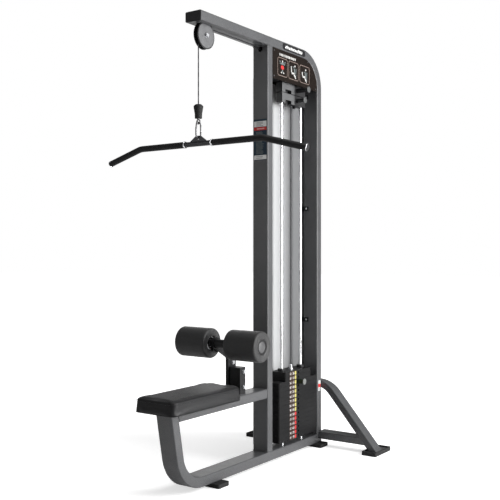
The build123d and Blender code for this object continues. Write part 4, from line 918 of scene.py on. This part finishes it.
def limb(bm, start, end, wide, lift=0.0004):
    """A round-ended stroke between two (Y, Z) points on the panel."""
    start, end = Vector((face_x, *start)), Vector((face_x, *end))
    along = end - start
    card = bmesh.new()
    bar(card, (0, -wide / 2, -wide / 2), (lift, along.length + wide / 2, wide / 2), wide * 0.49, 5, only="X")
    turn = AXES["Y"].rotation_difference(along.normalized()).to_matrix()
    bmesh.ops.rotate(card, verts=card.verts, cent=(0, 0, 0), matrix=turn)
    bmesh.ops.translate(card, verts=card.verts, vec=start)
    add_card(bm, card)


bm, dark, red = bmesh.new(), bmesh.new(), bmesh.new()
y0, z0 = FRAMES_Y[0][0], FRAME_Z[0]
limb(bm, (y0 + 0.050, z0 + 0.082), (y0 + 0.0505, z0 + 0.082), 0.011)             # seen from the front
limb(dark, (y0 + 0.030, z0 + 0.070), (y0 + 0.070, z0 + 0.070), 0.012)
limb(dark, (y0 + 0.024, z0 + 0.080), (y0 + 0.034, z0 + 0.072), 0.007)
limb(dark, (y0 + 0.078, z0 + 0.082), (y0 + 0.066, z0 + 0.072), 0.007)
limb(red, (y0 + 0.045, z0 + 0.049), (y0 + 0.055, z0 + 0.049), 0.021, 0.0005)
limb(dark, (y0 + 0.050, z0 + 0.022), (y0 + 0.050, z0 + 0.032), 0.012)
limb(bm, (y0 + 0.036, z0 + 0.020), (y0 + 0.064, z0 + 0.020), 0.007)
for (y0, _), reach in zip(FRAMES_Y[1:], (0.0, 0.010)):                           # seen from the side
    limb(bm, (y0 + 0.066, z0 + 0.079), (y0 + 0.0665, z0 + 0.079), 0.011)
    limb(dark, (y0 + 0.061, z0 + 0.064), (y0 + 0.064, z0 + 0.044), 0.012)
    limb(bm, (y0 + 0.060, z0 + 0.038), (y0 + 0.034, z0 + 0.036), 0.010)
    limb(bm, (y0 + 0.032, z0 + 0.036), (y0 + 0.028, z0 + 0.070 - reach), 0.008)
    limb(bm, (y0 + 0.058, z0 + 0.030), (y0 + 0.074, z0 + 0.014), 0.010)
    limb(dark, (y0 + 0.048, z0 + 0.074 - reach), (y0 + 0.060, z0 + 0.066), 0.006)
    limb(dark, (y0 + 0.076, z0 + 0.018), (y0 + 0.078, z0 + 0.066), 0.006)
piece("panel_figures", bm, ink(*PALE), "root", "panel_brown")
piece("panel_figures_dark", dark, ink(*SLATE), "root", "panel_brown")
piece("panel_figure_red", red, ink(*RED), "root", "panel_brown")

# %% Badge on the arm
arm_face = arm_high.x
BADGE = (0.236, 0.475)               # its ends along Y
BADGE_BARS = (0.262, 0.440)
BADGE_GAP, BADGE_LEAN = 0.0055, 0.35
bars_foot = arm_high.z - 0.034
bm = bmesh.new()
side_card(bm, arm_face, *BADGE, arm_high.z - 0.0425, arm_high.z - 0.0075, 0.0009, 0.0165)
piece("arm_badge", bm, ink(*BLACK), "root", "frame_paint")
bm = bmesh.new()
badge = random.Random(9)
y = BADGE_BARS[0]
while y < BADGE_BARS[1]:
    wide, tall = badge.uniform(0.006, 0.012), badge.uniform(0.013, 0.019)
    card = bmesh.new()
    side_card(card, arm_face + 0.0008, y, y + wide, bars_foot, bars_foot + tall, 0.0004, 0.0025)
    for vert in card.verts:                         # each bar leans the same way
        vert.co.y += (vert.co.z - bars_foot) * BADGE_LEAN
    add_card(bm, card)
    y += wide + BADGE_GAP
piece("arm_badge_bars", bm, ink(*WHITE), "root", "frame_paint")

# %% Placard on the front upright
PLACARD_FOOT, PLACARD_HEAD = 1.637, 1.857
FIELD = (-0.040, 0.040)              # the coloured fields' edges
ground_y = front_low.y
field_y = ground_y - 0.0003
print_y = ground_y - 0.0005
lines = random.Random(3)


def lines_of_print(bm, y, left, lengths, top, pitch, rows, tall, lift=0.0003, corner=0.0008):
    """Rows of print as bars of uneven length, from the top one down."""
    for row in range(rows):
        z = top - row * pitch
        front_card(bm, y, left, left + lines.uniform(*lengths), z - tall, z, lift, corner)


bm = bmesh.new()
front_card(bm, ground_y, -0.041, 0.041, PLACARD_FOOT, PLACARD_HEAD)
piece("placard_ground", bm, ink(*NAVY), "root", "frame_paint")
bm = bmesh.new()
front_card(bm, field_y, *FIELD, PLACARD_HEAD - 0.041, PLACARD_HEAD - 0.011)
front_card(bm, field_y, *FIELD, PLACARD_FOOT + 0.003, PLACARD_FOOT + 0.026)
piece("placard_white", bm, ink(*WHITE), "root", "frame_paint")
bm = bmesh.new()
front_card(bm, field_y, *FIELD, PLACARD_HEAD - 0.060, PLACARD_HEAD - 0.043)
piece("placard_red", bm, ink(*RED), "root", "frame_paint")
bm = bmesh.new()
lines_of_print(bm, field_y, -0.028, (0.036, 0.052), PLACARD_HEAD - 0.068, 0.0064, 19, 0.0036)
piece("placard_lines", bm, ink(*SLATE), "root", "frame_paint")
bm = bmesh.new()
lines_of_print(bm, print_y, -0.026, (0.032, 0.05), PLACARD_HEAD - 0.016, 0.0062, 4, 0.003, 0.0002, 0.0006)
lines_of_print(bm, print_y, -0.028, (0.034, 0.05), PLACARD_FOOT + 0.020, 0.008, 2, 0.003, 0.0002, 0.0006)
piece("placard_small_lines", bm, ink(*GREY), "root", "frame_paint")
bm = bmesh.new()
front_card(bm, print_y, -0.022, 0.027, PLACARD_HEAD - 0.055, PLACARD_HEAD - 0.048, 0.0002)
piece("placard_red_bar", bm, ink("pink", (0.68, 0.32, 0.30)), "root", "frame_paint")
print("printed parts:", len(INKS), "inks")


# %% [markdown]
# ## Fixings
# Small things that hold others: cross-head screws in the shroud's brackets and in the corners of the
# panels, and the rivet of the snap hook's gate.

# %% Screws and the gate's rivet
def screw(bm, centre, axis, radius, side=1):
    """A pan-head screw with a cross recess. side says which way along the axis the head looks."""
    head = [(0.0, radius), (0.0010, radius), (0.0019, radius * 0.82), (0.0024, radius * 0.5), (0.0026, 0.0)]
    turned(bm, [(side * a, r) for a, r in head], centre, axis, 28)
    middle = Vector(centre) + AXES[axis] * side * 0.00235
    plain = [i for i in range(3) if i != "XYZ".index(axis)]
    for along, across in (plain, plain[::-1]):
        half = Vector((0.0004,) * 3)
        half[along], half[across] = radius * 0.62, radius * 0.13
        bar(bm, middle - half, middle + half)


def row_of_screws(name, places, axis, radius, side, look, slot):
    bm = bmesh.new()
    for place in places:
        screw(bm, place, axis, radius, side)
    piece(name, bm, look, "root", slot)


SCREW_X = -0.026
SCREW_INSET = 0.0125                 # from a bracket's end to its screw
MIDDLE_SCREW_Z = 1.398
CORNER = 0.014                       # from a panel's edges to its corner screws
CUT_CORNER = 0.105                   # the same along the top, where the rear corner is cut off
bracket_low, bracket_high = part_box("shroud_brackets")
levels = (bracket_low.z + SCREW_INSET, MIDDLE_SCREW_Z, bracket_high.z - SCREW_INSET)
for end, y, side in (("front", bracket_low.y + 0.004, 1), ("rear", bracket_high.y - 0.004, -1)):
    row_of_screws("bracket_screws_" + end, [(SCREW_X, y, z) for z in levels], "Y", 0.0055, side, zinc,
                  "steel_bolts")
panel_corners = [(panel_low.y + CORNER, panel_low.z + CORNER), (panel_high.y - CORNER, panel_low.z + CORNER),
                 (panel_low.y + CORNER, panel_high.z - CORNER),
                 (panel_high.y - CUT_CORNER, panel_high.z - CORNER)]
far_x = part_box("far_top_panel")[0].x
for name, x, side in (("panel_screws", face_x, 1), ("far_panel_screws", far_x, -1)):
    row_of_screws(name, [(x, y, z) for y, z in panel_corners], "X", 0.0042, side, bar_black, "black_plastic")

gate_low, gate_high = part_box("carabiner_gate")
rivet = [(0.0033, 0.0022), (0.0044, 0.0022), (0.0049, 0.0012), (0.005, 0.0)]
bm = bmesh.new()
gate_y = (gate_low.y + gate_high.y) / 2
for side in (-1, 1):
    turned(bm, [(side * a, r) for a, r in rivet], (0, gate_y, gate_low.z + 0.0035), "X", 20)
piece("gate_rivet", bm, zinc, "gate", "steel_bolts")

# %% Small label low on the rear upright
LABEL_FOOT, LABEL_HEAD = 0.322, 0.383
label_rear = arm_high.y - 0.013
bm = bmesh.new()
side_card(bm, arm_face, label_rear - 0.024, label_rear, LABEL_FOOT, LABEL_HEAD)
piece("frame_plate", bm, ink(*WHITE), "root", "frame_paint")
bm = bmesh.new()
side_card(bm, arm_face + 0.0003, label_rear - 0.0245, label_rear + 0.0005, LABEL_FOOT + 0.021,
          LABEL_HEAD - 0.019, 0.0003)
piece("frame_plate_band", bm, ink(*RED), "root", "frame_paint")
bm = bmesh.new()
for top in (LABEL_HEAD - 0.004, LABEL_FOOT + 0.017):
    for z in (top, top - 0.0055, top - 0.011):
        side_card(bm, arm_face + 0.0003, label_rear - 0.022, label_rear - 0.022 + lines.uniform(0.012, 0.019),
                  z - 0.0026, z, 0.0002, 0.0006)
piece("frame_plate_lines", bm, ink(*SLATE), "root", "frame_paint")
